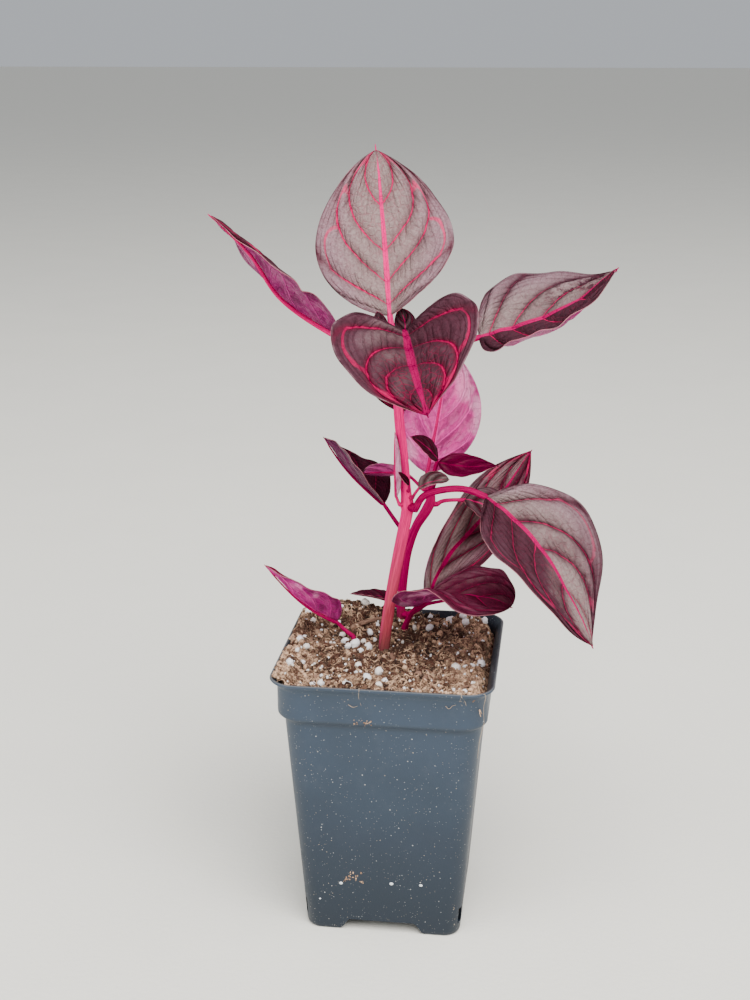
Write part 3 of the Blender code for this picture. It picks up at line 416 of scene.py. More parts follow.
        face=((0.1, -0.8, 0.5), (0.1, -0.8, 0.5)), half_width=4.6, powers=(0.65, 0.7),
        fold_left=(20, 20), fold_right=(20, 20),
        petiole=0.55, mucro=0.4,
        rib_band=0.7, bloom_and_sheen=(0.35, 0.3, 0.35, 0.3), vein=0.1, under=0.3, tone=0.7, skin=0.5,
    ),
}

# Blades: where the margin starts as a share of the length, how deep the midrib lies as a share
# of its radius, and the last row before the tip
BASE_MARGIN = 0.1
RIB_SINK = 0.85
LAST_ROW = 0.985

# Side veins: where they leave the midrib (VEIN_START), how far forward they run on the way out
# (VEIN_RUN and VEIN_BEND), how much less the lowest ones do (VEIN_LEAN and its gain), how far
# out they join in loops (LOOP_REACH) and how much less the upper ones do (LOOP_DROP, LOOP_BEND)
VEIN_START = 1.6
VEIN_RUN = 0.36
VEIN_BEND = 0.35
VEIN_LEAN = 0.2
VEIN_LEAN_GAIN = 3.5
LOOP_REACH = 0.85
LOOP_DROP = 0.02
LOOP_BEND = 0.012

# Leaves whose skin is under this are greyer and have no shine
GLOSSY_SKIN = 0.6

# Vein pairs, then rows and columns of the fine blade, sides of its petiole
DETAIL = {
    "large": (5, 96, 64, 16),
    "medium": (4, 72, 48, 14),
    "small": (3, 48, 32, 12),
}

# Colours that no setting holds
DULL_PURPLE = Vector((0.075, 0.048, 0.06))
WINE = Vector((0.105, 0.0, 0.026))
PALE_BAR = Vector((0.25, 0.13, 0.17))
RAISED_VEIN = Vector((0.95, 0.08, 0.46))
PLEAT_HIGHLIGHT = Vector((0.85, 0.40, 0.62))
SHEEN_HIGHLIGHT = Vector((0.80, 0.42, 0.60))
PETIOLE_SPOT = Vector((0.16, 0.004, 0.035))
SALMON = Vector((0.60, 0.12, 0.13))
STEM_SIDE_HIGHLIGHT = Vector((0.95, 0.0, 0.30))
SOILED_STEM = Vector((0.10, 0.040, 0.034))
LIP_DUST_AND_HIGHLIGHT = Vector((0.17, 0.16, 0.145))
TAN_SPECK = Vector((0.50, 0.41, 0.30))
RED_PEAT = Vector((0.26, 0.11, 0.06))
BROWN_FIBRE = Vector((0.42, 0.25, 0.15))
DARK_CLUMP = Vector((0.16, 0.06, 0.035))
STRAW_FLECK = Vector((0.78, 0.60, 0.44))
STAINED_PERLITE = Vector((0.80, 0.70, 0.56))
PERLITE_PIT = Vector((0.60, 0.54, 0.50))
DARK_WOOD = Vector((0.10, 0.045, 0.028))
LIGHT_WOOD = Vector((0.38, 0.22, 0.14))
DROP_RING = Vector((0.60, 0.64, 0.66))
DROP_WHITE = Vector((0.88, 0.90, 0.90))
DARK_ROOTLET = Vector((0.28, 0.19, 0.13))
PALE_ROOTLET = Vector((0.52, 0.42, 0.31))
LEAF_SHINE = (1.0, 0.5, 0.62, 1.0)
UNDERSIDE_SHINE = (1.0, 0.55, 0.8, 1.0)

# Stage, in metres
FLOOR_HALF = 24.0
FLOOR_POINTS = 9
KEY_PLACE = (0.6, -1.1, 2.0)
KEY_SIZE = 2.1
FILL_PLACE = (-1.3, -0.9, 0.7)
FILL_SIZE = 1.2
LIGHT_AIM = (0.0, 0.0, 0.15)
SKY_STRENGTH = 0.54
SENSOR_MM = 36.0


class BloodleafLeafSettings(bpy.types.PropertyGroup):
    """Sizes and colours of the leaves."""

    thickness: FloatProperty(
        name="Blade thickness", description="Thickness of a blade near its midrib",
        default=0.0005, min=0.0002, max=0.001, unit="LENGTH",
    )
    quilting: FloatProperty(
        name="Quilting", description="How far the blade swells between two side veins",
        default=0.0013, min=0.0, max=0.003, unit="LENGTH",
    )
    wave: FloatProperty(
        name="Margin wave", description="How far the margin waves up and down",
        default=0.00055, min=0.0, max=0.003, unit="LENGTH",
    )
    purple: FloatVectorProperty(
        name="Upper face", description="Deep colour of the upper face",
        default=(0.042, 0.007, 0.014), size=3, subtype="COLOR", min=0.0, max=1.0,
    )
    # Partly a painted sheen: this film colour stands in for light that the upper face reflects.
    bloom_and_sheen: FloatVectorProperty(
        name="Bloom", description="Dull film over the upper face",
        default=(0.27, 0.205, 0.19), size=3, subtype="COLOR", min=0.0, max=1.0,
    )
    flush: FloatVectorProperty(
        name="Flush", description="Pinker film toward the margin",
        default=(0.285, 0.185, 0.205), size=3, subtype="COLOR", min=0.0, max=1.0,
    )
    vein: FloatVectorProperty(
        name="Veins", description="Bright veins of the upper face",
        default=(0.46, 0.0, 0.075), size=3, subtype="COLOR", min=0.0, max=1.0,
    )
    pale_vein: FloatVectorProperty(
        name="Pale veins", description="Veins where the bloom lies over them",
        default=(0.92, 0.0, 0.155), size=3, subtype="COLOR", min=0.0, max=1.0,
    )
    underside: FloatVectorProperty(
        name="Underside", description="Colour of a mature leaf's underside",
        default=(0.20, 0.0, 0.092), size=3, subtype="COLOR", min=0.0, max=1.0,
    )
    pale_underside: FloatVectorProperty(
        name="Pale underside", description="Colour of a younger leaf's underside",
        default=(0.60, 0.045, 0.26), size=3, subtype="COLOR", min=0.0, max=1.0,
    )
    young: FloatVectorProperty(
        name="Young leaf", description="Whitish colour of the youngest leaves' undersides",
        default=(0.66, 0.36, 0.46), size=3, subtype="COLOR", min=0.0, max=1.0,
    )


class BloodleafStemSettings(bpy.types.PropertyGroup):
    """Sizes and colours of the stems."""

    ridge: FloatProperty(
        name="Ridges", description="Height of the ridges as a share of the radius",
        default=0.055, min=0.0, max=0.2, subtype="FACTOR",
    )
    bright: FloatVectorProperty(
        name="Upper stem", description="Colour of the upper stem and the petioles",
        default=(0.82, 0.0, 0.178), size=3, subtype="COLOR", min=0.0, max=1.0,
    )
    woody: FloatVectorProperty(
        name="Lower stem", description="Colour of the oldest part of the stem",
        default=(0.45, 0.048, 0.082), size=3, subtype="COLOR", min=0.0, max=1.0,
    )


class BloodleafMixSettings(bpy.types.PropertyGroup):
    """Amounts and colours of the potting mix."""

    crumbs: IntProperty(name="Crumbs", description="Number of loose crumbs", default=3300, min=0)
    fringe: IntProperty(name="Fringe", description="Number of crumbs on the lip", default=900, min=0)
    fibres: IntProperty(name="Fibres", description="Number of loose fibres", default=1500, min=0)
    specks: IntProperty(name="Specks", description="Number of small perlite specks", default=230, min=0)
    dark: FloatVectorProperty(
        name="Peat", description="Colour of damp peat",
        default=(0.026, 0.011, 0.007), size=3, subtype="COLOR", min=0.0, max=1.0,
    )
    light: FloatVectorProperty(
        name="Fibre", description="Colour of dry fibre",
        default=(0.84, 0.55, 0.35), size=3, subtype="COLOR", min=0.0, max=1.0,
    )
    perlite: FloatVectorProperty(
        name="Perlite", description="Colour of the perlite",
        default=(0.92, 0.90, 0.89), size=3, subtype="COLOR", min=0.0, max=1.0,
    )


class BloodleafPotSettings(bpy.types.PropertyGroup):
    """Colours of the pot."""

    plastic: FloatVectorProperty(
        name="Plastic", description="Colour of the moulded plastic",
        default=(0.034, 0.051, 0.077), size=3, subtype="COLOR", min=0.0, max=1.0,
    )
    dust: FloatVectorProperty(
        name="Dust", description="Colour of the dust and dried splashes",
        default=(0.55, 0.56, 0.55), size=3, subtype="COLOR", min=0.0, max=1.0,
    )


class BloodleafStageSettings(bpy.types.PropertyGroup):
    """Floor, lights and camera."""

    floor: FloatVectorProperty(
        name="Floor", description="Colour of the floor",
        default=(0.88, 0.85, 0.76), size=3, subtype="COLOR", min=0.0, max=1.0,
    )
    sky: FloatVectorProperty(
        name="Surroundings", description="Colour of the light all round",
        default=(0.90, 0.94, 1.0), size=3, subtype="COLOR", min=0.0, max=1.0,
    )
    key: FloatProperty(
        name="Key light", description="Power of the large light", default=124.0, unit="POWER",
    )
    fill: FloatProperty(
        name="Fill light", description="Power of the side light", default=14.0, unit="POWER",
    )
    camera_place: FloatVectorProperty(
        name="Camera", description="Where the camera stands",
        default=(0.0589, -0.5661, 0.3528), size=3, subtype="TRANSLATION", unit="LENGTH",
    )
    camera_turn: FloatProperty(
        name="Camera turn", description="Turn of the view about the vertical",
        default=math.radians(7.47), unit="ROTATION",
    )
    camera_pitch: FloatProperty(
        name="Camera pitch", description="How far the view looks down",
        default=math.radians(16.99), unit="ROTATION",
    )
    lens: FloatProperty(name="Lens", description="Focal length in millimetres", default=53.71)


class Level:
    """A number that varies over a surface. Arithmetic on it adds Math nodes."""

    def __init__(self, finish, socket):
        self.finish = finish
        self.socket = socket

    def maths(self, operation, *terms):
        """Result of one Math node."""
        return self.finish.node("ShaderNodeMath", {"operation": operation}, dict(enumerate(terms)))

    def __add__(self, other):
        return self.maths("ADD", self, other)

    def __sub__(self, other):
        return self.maths("SUBTRACT", self, other)

    def __rsub__(self, other):
        return self.maths("SUBTRACT", other, self)

    def __mul__(self, other):
        return self.maths("MULTIPLY", self, other)

    def __truediv__(self, other):
        return self.maths("DIVIDE", self, other)

    def __rtruediv__(self, other):
        return self.maths("DIVIDE", other, self)

    def __gt__(self, other):
        return self.maths("GREATER_THAN", self, other)

    def __abs__(self):
        return self.maths("ABSOLUTE", self)

    __radd__ = __add__
    __rmul__ = __mul__

    def part(self):
        """What is left of the number past its last whole one."""
        return self.maths("FRACT", self)

    def whole(self):
        """The whole number below."""
        return self.maths("FLOOR", self)

    def wave(self):
        """Sine of the number."""
        return self.maths("SINE", self)

    def most(self, other):
        """The larger of two numbers."""
        return self.maths("MAXIMUM", self, other)

    def rise(self, low, high):
        """Smooth step from 0 below low to 1 above high."""
        return self.finish.node(
            "ShaderNodeMapRange", {"interpolation_type": "SMOOTHSTEP"}, {0: self, 1: low, 2: high}
        )


class Finish:
    """A material being made, whose nodes are added one at a time."""

    def __init__(self, name, roughness=0.5):
        self.material = bpy.data.materials.new(name)
        self.material.use_nodes = True
        self.tree = self.material.node_tree
        self.shader = self.tree.nodes["Principled BSDF"]
        self.shader.inputs["Roughness"].default_value = roughness

    def node(self, kind, settings=None, sockets=None, out=0):
        """One output of a new node, after its settings and then its sockets are set."""
        made = self.tree.nodes.new(kind)
        for name, value in (settings or {}).items():
            setattr(made, name, value)
        for key, value in (sockets or {}).items():
            self.feed(made.inputs[key], value)
        return Level(self, made.outputs[out])

    def feed(self, socket, value):
        """Link or number into a socket."""
        if isinstance(value, Level):
            self.tree.links.new(value.socket, socket)
        elif socket.type == "RGBA":
            socket.default_value = (*value[:3], 1.0)
        else:
            socket.default_value = value

    def mix(self, share, first, second):
        """Colour between two colours."""
        sockets = {0: share, 6: first, 7: second}
        return self.node("ShaderNodeMix", {"data_type": "RGBA"}, sockets, 2)

    def place(self):
        """Place in the object in millimetres."""
        spot = self.node("ShaderNodeTexCoord", out="Object")
        return self.node("ShaderNodeVectorMath", {"operation": "SCALE"}, {0: spot, "Scale": 1 / MM})

    def joined(self, x, y, z):
        """Place from three numbers."""
        return self.node("ShaderNodeCombineXYZ", None, {0: x, 1: y, 2: z})

    def split(self, place):
        """The three numbers of a place."""
        first = self.node("ShaderNodeSeparateXYZ", None, {0: place})
        return [Level(self, output) for output in first.socket.node.outputs]

    def pair(self, layer):
        """The two numbers that a mesh carries under a name."""
        return self.split(self.node("ShaderNodeUVMap", {"uv_map": layer}))[:2]

    def part(self, axis):
        """One of the three coordinates of the place, in millimetres."""
        return self.split(self.place())[axis]

    def height(self):
        """Height above the floor in millimetres."""
        return self.part(2)

    def noise(self, place, scale, detail=3.0, rough=0.55):
        """Cloudy number around a half, scale in swells to a millimetre."""
        sockets = {"Vector": place, "Scale": scale, "Detail": detail, "Roughness": rough}
        return self.node("ShaderNodeTexNoise", None, sockets)

    def cells(self, place, scale, feature="F1", out="Distance"):
        """Number from a field of cells."""
        sockets = {"Vector": place, "Scale": scale}
        return self.node("ShaderNodeTexVoronoi", {"feature": feature}, sockets, out)

    def relief(self, height, depth):
        """Bump of the given depth in millimetres."""
        sockets = {"Height": height, "Distance": depth * MM, "Strength": 1.0}
        self.feed(self.shader.inputs["Normal"], self.node("ShaderNodeBump", None, sockets))

    def shine(self, level, tint=None):
        """Strength of the mirror-like light and, where it has one, its colour."""
        self.shader.inputs["Specular IOR Level"].default_value = level
        if tint:
            self.shader.inputs["Specular Tint"].default_value = tint

    def surface(self, colour, roughness=None):
        """Colour and roughness into the shader."""
        self.feed(self.shader.inputs["Base Color"], colour)
        if roughness is not None:
            self.feed(self.shader.inputs["Roughness"], roughness)
        return self.material


def chosen(group):
    """The user's sizes and colours for the leaves, stems, mix, pot or stage."""
    return getattr(bpy.context.scene, f"bloodleaf_{group}")


class Stock:
    """Points and faces of a mesh being put together, with two pairs of numbers at each point."""

    def __init__(self):
        self.points = []
        self.faces = []
        self.finishes = []
        self.place = []
        self.span = []
        self.total = 0

    def add(self, points, faces, finish=0, place=(0.0, 0.0), span=(0.0, 0.0)):
        """Points with the faces on them, numbered from the first of these points."""
        points = np.asarray(points, float).reshape(-1, 3)
        first = self.total
        self.points.append(points)
        self.place.append(np.broadcast_to(place, (len(points), 2)))
        self.span.append(np.broadcast_to(span, (len(points), 2)))
        self.total += len(points)
        self.join(faces, finish, first)
        return first

    def join(self, faces, finish=0, first=0):
        """Faces on points that are already there."""
        if isinstance(faces, np.ndarray):
            made = (faces + first).tolist()
        else:
            made = [[first + corner for corner in face] for face in faces]
        self.faces += made
        self.finishes += [finish] * len(made)

    def piece(self, name, finishes, nodes=()):
        """Object of the mesh, riding on the plant and standing for the named solids."""
        mesh = bpy.data.meshes.new(name)
        points = (np.vstack(self.points) + POT_CENTRE) * MM
        mesh.from_pydata(points.tolist(), [], self.faces)
        mesh.polygons.foreach_set("material_index", self.finishes)
        corners = np.empty(len(mesh.loops), np.int32)
        mesh.loops.foreach_get("vertex_index", corners)
        for title, pairs in (("place", self.place), ("span", self.span)):
            layer = mesh.uv_layers.new(name=title)
            layer.data.foreach_set("uv", np.vstack(pairs)[corners].ravel())
        for finish in finishes:
            mesh.materials.append(finish)
        mesh.shade_smooth()
        return settle(bpy.data.objects.new(name, mesh), nodes)


def settle(made, nodes):
    """Link a finished object, make it ride on the root and hide the solids that it stands for."""
    bpy.context.scene.collection.objects.link(made)
    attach(made, "root")
    if nodes:
        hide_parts(*nodes)
    return made


def unit(vectors):
    """The vectors at length one."""
    vectors = np.asarray(vectors, float)
    return vectors / np.maximum(np.linalg.norm(vectors, axis=-1, keepdims=True), 1e-9)


def through(points, along):
    """Smooth curve through the points, read at fractions 0 to 1 of the way along."""
    points = np.asarray(points, float)
    if len(points) == 2:
        points = np.array([points[0], (points[0] + points[1]) / 2, points[1]])
    before = 2.5 * points[0] - 2.0 * points[1] + 0.5 * points[2]
    after = 2.5 * points[-1] - 2.0 * points[-2] + 0.5 * points[-3]
    knots = np.vstack([before, points, after])
    place = np.clip(np.asarray(along, float), 0.0, 1.0 - 1e-9) * (len(points) - 1)
    first = place.astype(int)
    part = (place - first)[..., None]
    a, b, c, d = (knots[first + k] for k in range(4))
    bend = 2 * a - 5 * b + 4 * c - d
    twist = 3 * b - a - 3 * c + d
    return 0.5 * (2 * b + (c - a) * part + bend * part**2 + twist * part**3)


def clouds(x, y, size, seed):
    """Smooth seeded noise from -1 to 1 over a plane, with swells of the given size."""
    table = np.random.default_rng(seed).uniform(-1.0, 1.0, (64, 64))
    u, v = np.asarray(x, float) / size + 500.0, np.asarray(y, float) / size + 500.0
    i, j = np.floor(u).astype(int), np.floor(v).astype(int)
    s, t = u - i, v - j
    s, t = s * s * (3 - 2 * s), t * t * (3 - 2 * t)
    low = table[i % 64, j % 64] * (1 - s) + table[(i + 1) % 64, j % 64] * s
    high = table[i % 64, (j + 1) % 64] * (1 - s) + table[(i + 1) % 64, (j + 1) % 64] * s
    return low * (1 - t) + high * t


def grid_faces(rows, columns):
    """Faces of a grid of points, seen from the side its columns turn left from its rows."""
    corner = np.arange((rows - 1) * columns).reshape(rows - 1, columns)[:, :-1].ravel()
    return np.stack([corner, corner + 1, corner + columns + 1, corner + columns], axis=1)


def add_rings(stock, rings, finish=0, place=(0.0, 0.0), span=(0.0, 0.0)):
    """Skin rings of points, one after another, and close both ends."""
    rings = np.asarray(rings, float)
    rows, count = rings.shape[:2]
    corner = np.arange((rows - 1) * count).reshape(rows - 1, count)
    after = np.roll(corner, -1, axis=1)
    faces = np.stack([corner, after, after + count, corner + count], -1).reshape(-1, 4)
    first = stock.add(rings, faces, finish, place, span)
    last = first + (rows - 1) * count
    stock.join([list(range(first + count - 1, first - 1, -1)), list(range(last, last + count))], finish)


def add_rod(stock, path, radii, sides, finish=0, ridges=0.0, count=STEM_RIDGES):
    """Round rod along a path, closed at both ends; it carries its way round and along."""
    path = np.asarray(path, float)
    radii = np.broadcast_to(radii, len(path))
    tangent = unit(np.gradient(path, axis=0))
    level = np.array((0.0, 0.0, 1.0)) if abs(tangent[0][2]) < 0.9 else np.array((0.0, 1.0, 0.0))
    side = [unit(np.cross(tangent[0], level))]
    for way in tangent[1:]:
        side.append(unit(side[-1] - way * (side[-1] @ way)))
    side = np.array(side)
    up = np.cross(tangent, side)
    turn = np.linspace(0.0, 2 * math.pi, sides, endpoint=False)
    swell = 1.0 + ridges * np.cos(count * turn) + 0.4 * ridges * np.cos((2 * count + 1) * turn + 1.0)
    ring = side[:, None] * np.cos(turn)[:, None] + up[:, None] * np.sin(turn)[:, None]
    points = path[:, None] + ring * (radii[:, None] * swell)[..., None]
    length = np.concatenate([[0.0], np.cumsum(np.linalg.norm(np.diff(path, axis=0), axis=1))])
    place = np.broadcast_to(np.stack([np.cos(turn), np.sin(turn)], -1), (len(path), sides, 2))
    span = np.stack(np.broadcast_arrays(length[:, None], radii[:, None] + 0 * turn), -1)
    add_rings(stock, points, finish, place.reshape(-1, 2), span.reshape(-1, 2))


def stem_at(path, height):
    """Axis point and radius of a stem at a height."""
    fine = through(np.array(path, float), np.linspace(0.0, 1.0, 400))
    nearest = fine[np.argmin(np.abs(fine[:, 2] - height))]
    return nearest[:3], nearest[3]


def petiole_path(leaf):
    """Points of the petiole from inside its stem, or from deep in the mix, to the blade."""
    kind = leaf["seat"][0]
    if kind == "potting_mix":
        x, y, top = leaf["seat"][1:]
        seat = [np.array((x, y, MIX_LEVEL - 5.5)), np.array((x, y, top))]
    else:
        height, bearing = leaf["seat"][1:]
        axis, radius = stem_at(STEM_PATHS[kind], height)
        outward = np.array((0.0, 0.0, 1.0))
        if bearing != "top":
            turn = math.radians(bearing)
            outward = np.array((math.cos(turn), math.sin(turn), 0.0))
        start = 0.0 if bearing == "top" else radius
        near = axis + outward * (start - 0.9)
        seat = [near, axis + outward * (start + 0.35 + leaf["petiole"])]
    path = np.vstack([seat, *[[point] for point in leaf["stalk"]], [leaf["rib"][0]]])
    return np.vstack([path[:1], through(path[1:], np.linspace(0.0, 1.0, 22))])


def rib_frames(leaf, along):
    """Points of the midrib with the upper side's normal and the way to the right."""
    step = 1e-3
    points = through(leaf["rib"], along)
    ahead = through(leaf["rib"], np.clip(along + step, 0.0, 1.0))
    behind = through(leaf["rib"], np.clip(along - step, 0.0, 1.0))
    forward = unit(ahead - behind)
    base, tip = unit(leaf["face"][0]), unit(leaf["face"][1])
    normal = base * (1 - along[..., None]) + tip * along[..., None]
    normal = unit(normal - (normal * forward).sum(-1, keepdims=True) * forward)
    return points, normal, np.cross(forward, normal)


def half_width(leaf, along):
    """Half width of the blade at fractions of its length."""
    base, tip = leaf["powers"]
    widest = base / (base + tip)
    top = widest**base * (1 - widest) ** tip
    return leaf["half_width"] * along**base * (1 - along) ** tip / top


def base_to_tip(leaf, field, along):
    """Angle in radians, at fractions of the blade's length, of a list from base to tip."""
    return np.radians(np.interp(along, np.linspace(0.0, 1.0, len(leaf[field])), leaf[field]))


def vein_row(along, out):
    """Row of the side vein through each point, 0 at the base and 1 at the tip."""
    low, high = np.zeros_like(along), np.ones_like(along)
    run = VEIN_RUN * out + VEIN_BEND * out**3
    for _ in range(22):
        start = (low + high) / 2
        under = start + np.minimum(VEIN_LEAN + VEIN_LEAN_GAIN * start, 1.0) * run < along
        low, high = np.where(under, start, low), np.where(under, high, start)
    return ((low + high) / 2) ** (1 / VEIN_START)


def row_length(points, rows):
    """Millimetres for one whole row at each point of a sheet."""
    down, across = np.gradient(points, axis=0), np.gradient(points, axis=1)
    rise, slide = np.gradient(rows, axis=0), np.gradient(rows, axis=1)
    e, f, g = (down * down).sum(-1), (down * across).sum(-1), (across * across).sum(-1)
    steep = (g * rise**2 - 2 * f * rise * slide + e * slide**2) / np.maximum(e * g - f * f, 1e-9)
    return 1.0 / np.sqrt(np.maximum(steep, 1e-5))


def vein_phase(row, right, pairs, shifts):
    """Side veins passed on the way from base to tip, with each side's veins set a little apart."""
    shift = np.where(right, shifts[1], shifts[0])
    return pairs * (row + shift * np.sin(math.pi * row))


def blade_sheet(leaf, row, column, shifts, seed):
    """Middle of the blade at row, 0 base to 1 tip, and column, -1 left to 1 right.

    Also the distance from the midrib, the share of the way out and the row of the side vein.
    """
    user = chosen("leaves")
    out = np.abs(column)
    start = row**1.6
    end = BASE_MARGIN + (1 - BASE_MARGIN) * (1 - (1 - row) ** 1.8)
    along = start + (end - start) * (0.55 * out + 0.45 * out**3)
    basal = (1 - row) ** 8
    distance = half_width(leaf, along) * (out**0.85 * (1 - basal) + np.sign(out) * basal)
    left = column < 0
    fold = np.where(left, base_to_tip(leaf, "fold_left", along), base_to_tip(leaf, "fold_right", along))
    curl = np.where(left, base_to_tip(leaf, "curl_left", along), base_to_tip(leaf, "curl_right", along))
    bend = np.where(np.abs(curl) < 1e-4, 1e-4, curl) / leaf["half_width"]
    side = (np.sin(fold + bend * distance) - np.sin(fold)) / bend
    rise = (np.cos(fold) - np.cos(fold + bend * distance)) / bend
    size = min(leaf["half_width"] / 20.0, 1.0)
    fade = np.clip(along / 0.15, 0, 1) * np.clip((1 - along) / 0.12, 0, 1)
    out = np.clip(distance / np.maximum(half_width(leaf, along), 1e-3), 0.0, 1.0)
    vein = vein_row(along, out)
    phase = vein_phase(vein, column > 0, DETAIL[leaf["detail"]][0], shifts)
    swell = np.abs(np.sin(math.pi * phase)) ** 0.8
    swell = swell * np.sin(math.pi * np.clip(out * 0.96 + 0.06, 0.0, 1.0)) ** 0.5
    ladder = np.sin(out * 40.0 + 3.4 * clouds(phase, out * 3.0, 0.7, seed) + 1.7 * np.floor(phase))
    rise = rise + user.quilting / MM * size * swell * fade * (1.0 + 0.2 * ladder)
    rise = rise + 0.5 * size * clouds(phase, column * 4.0, 1.0, seed + 1) * out * fade
    ripple = np.sin(along * 24.0 + seed + np.sign(column)) + 0.6 * clouds(along, column, 0.08, seed + 2)
    rise = rise + user.wave / MM * size * ripple * out**5 * fade
    points, normal, right = rib_frames(leaf, along)
    middle = points + right * (np.sign(column) * side)[..., None] + normal * rise[..., None]
    return middle, distance, out, vein


def add_blade(stock, leaf, shifts, seed):
    """Blade with an upper face, an underside, a thin margin round both and a point at the tip."""
    _, rows, columns, _ = DETAIL[leaf["detail"]]
    way = np.linspace(-1.0, 1.0, columns + 1)
    row, column = np.meshgrid(np.linspace(0.0, LAST_ROW, rows), way, indexing="ij")
    middle, distance, out, vein = blade_sheet(leaf, row, column, shifts, seed)
    normal = unit(np.cross(np.gradient(middle, axis=1), np.gradient(middle, axis=0)))
    per_row = row_length(middle, vein)
    half = chosen("leaves").thickness / MM / 2 * (1.0 - 0.55 * out**4)
    crown = 0.22 * min(leaf["half_width"] / 20.0, 1.0) * np.exp(-((distance / 1.1) ** 2))
    place = np.stack([vein, np.sign(column) * out], -1).reshape(-1, 2)
    span = np.stack([per_row, np.sign(column) * distance], -1).reshape(-1, 2)
    count = columns + 1
    faces = grid_faces(rows, count)
    upper = stock.add(middle + normal * (half + crown)[..., None], faces, 0, place, span)
    lower = stock.add(middle - normal * half[..., None], faces[:, ::-1], 1, place, span)
    point, _, _ = rib_frames(leaf, np.array([1.0]))
    tip = stock.add(point, [], 0, (1.0, 0.0), (per_row[-1, columns // 2], 0.0))
    end = (rows - 1) * count
    for k in range(columns):
        stock.join([[upper + end + k, upper + end + k + 1, tip]], 0)
        stock.join([[lower + end + k + 1, lower + end + k, tip]], 1)
        stock.join([[upper + k, lower + k, lower + k + 1, upper + k + 1]], 2)
    left = np.arange(rows - 1) * count
    over, under = upper + left, lower + left
    stock.join(np.stack([over + count, under + count, under, over], -1), 2)
    over, under = over + columns, under + columns
    stock.join(np.stack([over, under, under + count, over + count], -1), 2)
    stock.join([[tip, lower + end, upper + end], [upper + end + columns, lower + end + columns, tip]], 2)


def add_stalk(stock, leaf):
    """Petiole and midrib as one rod that thins into the leaf's fine point."""
    radius = leaf["petiole"]
    stalk = petiole_path(leaf)
    along = np.linspace(0.0, 1.0, 40)[1:]
    points, normal, _ = rib_frames(leaf, along)
    rib_radii = radius * (0.74 - 0.46 * along)
    rib_radii = rib_radii * np.clip((1.02 - along) / 0.12, 0.7, 1.0)
    rib = points - normal * (rib_radii * RIB_SINK)[:, None]
    forward = unit(points[-1] - points[-2])
    fine = rib[-1] + forward * (leaf["mucro"] * np.array((0.5, 1.0)))[:, None]
    flare = 1.0 + 0.35 * np.exp(-np.arange(len(stalk)) / 1.6)
    radii = np.concatenate([
        np.linspace(radius, radius * 0.85, len(stalk)) * flare,
        rib_radii,
        rib_radii[-1] * np.array((0.9, 0.5)),
    ])
    add_rod(stock, np.vstack([stalk, rib, fine]), radii, DETAIL[leaf["detail"]][3], 3, 0.05, 4)


def loop_reach(number):
    """How far out the side vein of this number turns into its loop."""
    return LOOP_REACH - number * LOOP_DROP - number * number * LOOP_BEND


def vein_masks(finish, leaf, shifts):
    """Shares of midrib, side veins and their loops, of fine net and of margin at each point."""
    row, column = finish.pair("place")
    per_row, distance = finish.pair("span")
    pairs = DETAIL[leaf["detail"]][0]
    size = min(leaf["half_width"] / 24.0, 1.0) ** 0.6
    out, gap = abs(column), abs(distance)
    right = column > 0.0
    shift = shifts[0] + right * (shifts[1] - shifts[0])
    place = finish.place()
    waver = finish.noise(place, 0.16, 2.0) - 0.5
    phase = (row + shift * (row * math.pi).wave()) * pairs + waver * 0.16
    turn = phase.part()
    near = (phase + 0.5).whole()
    side_gap = (0.5 - abs(turn - 0.5)) * per_row * (1.0 / pairs) + waver * 0.25
    full = 0.75 + 0.6 * out.rise(0.1, 0.55)
    width = full * (size * (0.2 + 0.22 * leaf["vein"])) * (0.45 + 1.1 * finish.noise(place, 0.14, 2.0))
    inside = phase.rise(0.45, 0.6) * (1.0 - phase.rise(pairs - 0.55, pairs - 0.4))
    side = (1.0 - (side_gap / width).rise(0.6, 1.5)) * inside
    side = side * (1.0 - (out - loop_reach(near)).rise(0.0, 0.05))
    first = phase.whole()
    line = loop_reach(first) + (turn * math.pi).wave() * 0.07 - turn * turn * 0.13
    loop_gap = abs(out - line + waver * 0.02) * (gap / out.most(0.1))
    spread = phase.rise(0.85, 1.1) * (1.0 - phase.rise(pairs - 1.2, pairs - 0.95))
    loop = (1.0 - (loop_gap / width).rise(0.5, 1.5)) * spread
    band = (1.0 - row * row * row * 0.8) * (0.6 + row.rise(0.0, 0.5) * 0.45)
    band = (band * (leaf["rib_band"] / 2)).most(0.15)
    rib = 1.0 - ((gap + waver * 0.2) / band).rise(0.75, 1.15)
    glow = 1.0 - side_gap.most(0.0).rise(0.2, 2.6)
    rungs = out * 10.5 + finish.noise(finish.joined(phase * 1.2, out * 3.0, 0.5), 1.0, 1.0) * 2.5
    rung = 1.0 - (0.5 - abs((rungs + first * 0.37 + turn * 0.5).part() - 0.5)).rise(0.02, 0.3)
    inner, outer = leaf["veins"]
    shine = inner + out.rise(0.05, 0.75) * (outer - inner)
    shine = shine * (1.0 - out * (1.0 - row.rise(0.1, 0.45)) * 0.6)
    drift = finish.node("ShaderNodeTexNoise", None, {"Vector": place, "Scale": 0.5}, "Color")
    creases = finish.node("ShaderNodeVectorMath", {"operation": "ADD"}, {0: place, 1: drift})
    return {
        "place": place,
        "row": row,
        "out": out,
        "right": right,
        "rib": rib,
        "veins": side.most(loop * (0.9 - 0.55 * turn)),
        "glow": glow * inside,
        "rung": rung * out.rise(0.04, 0.2),
        "net": 1.0 - finish.cells(creases, 0.3, "DISTANCE_TO_EDGE").rise(0.0, 0.09),
        "bright": shine * (0.5 + 0.5 * finish.noise(place, 0.07, 1.0).rise(0.3, 0.6)),
        "margin": out.rise(0.965, 0.99),
        "swell": (turn * math.pi).wave(),
    }


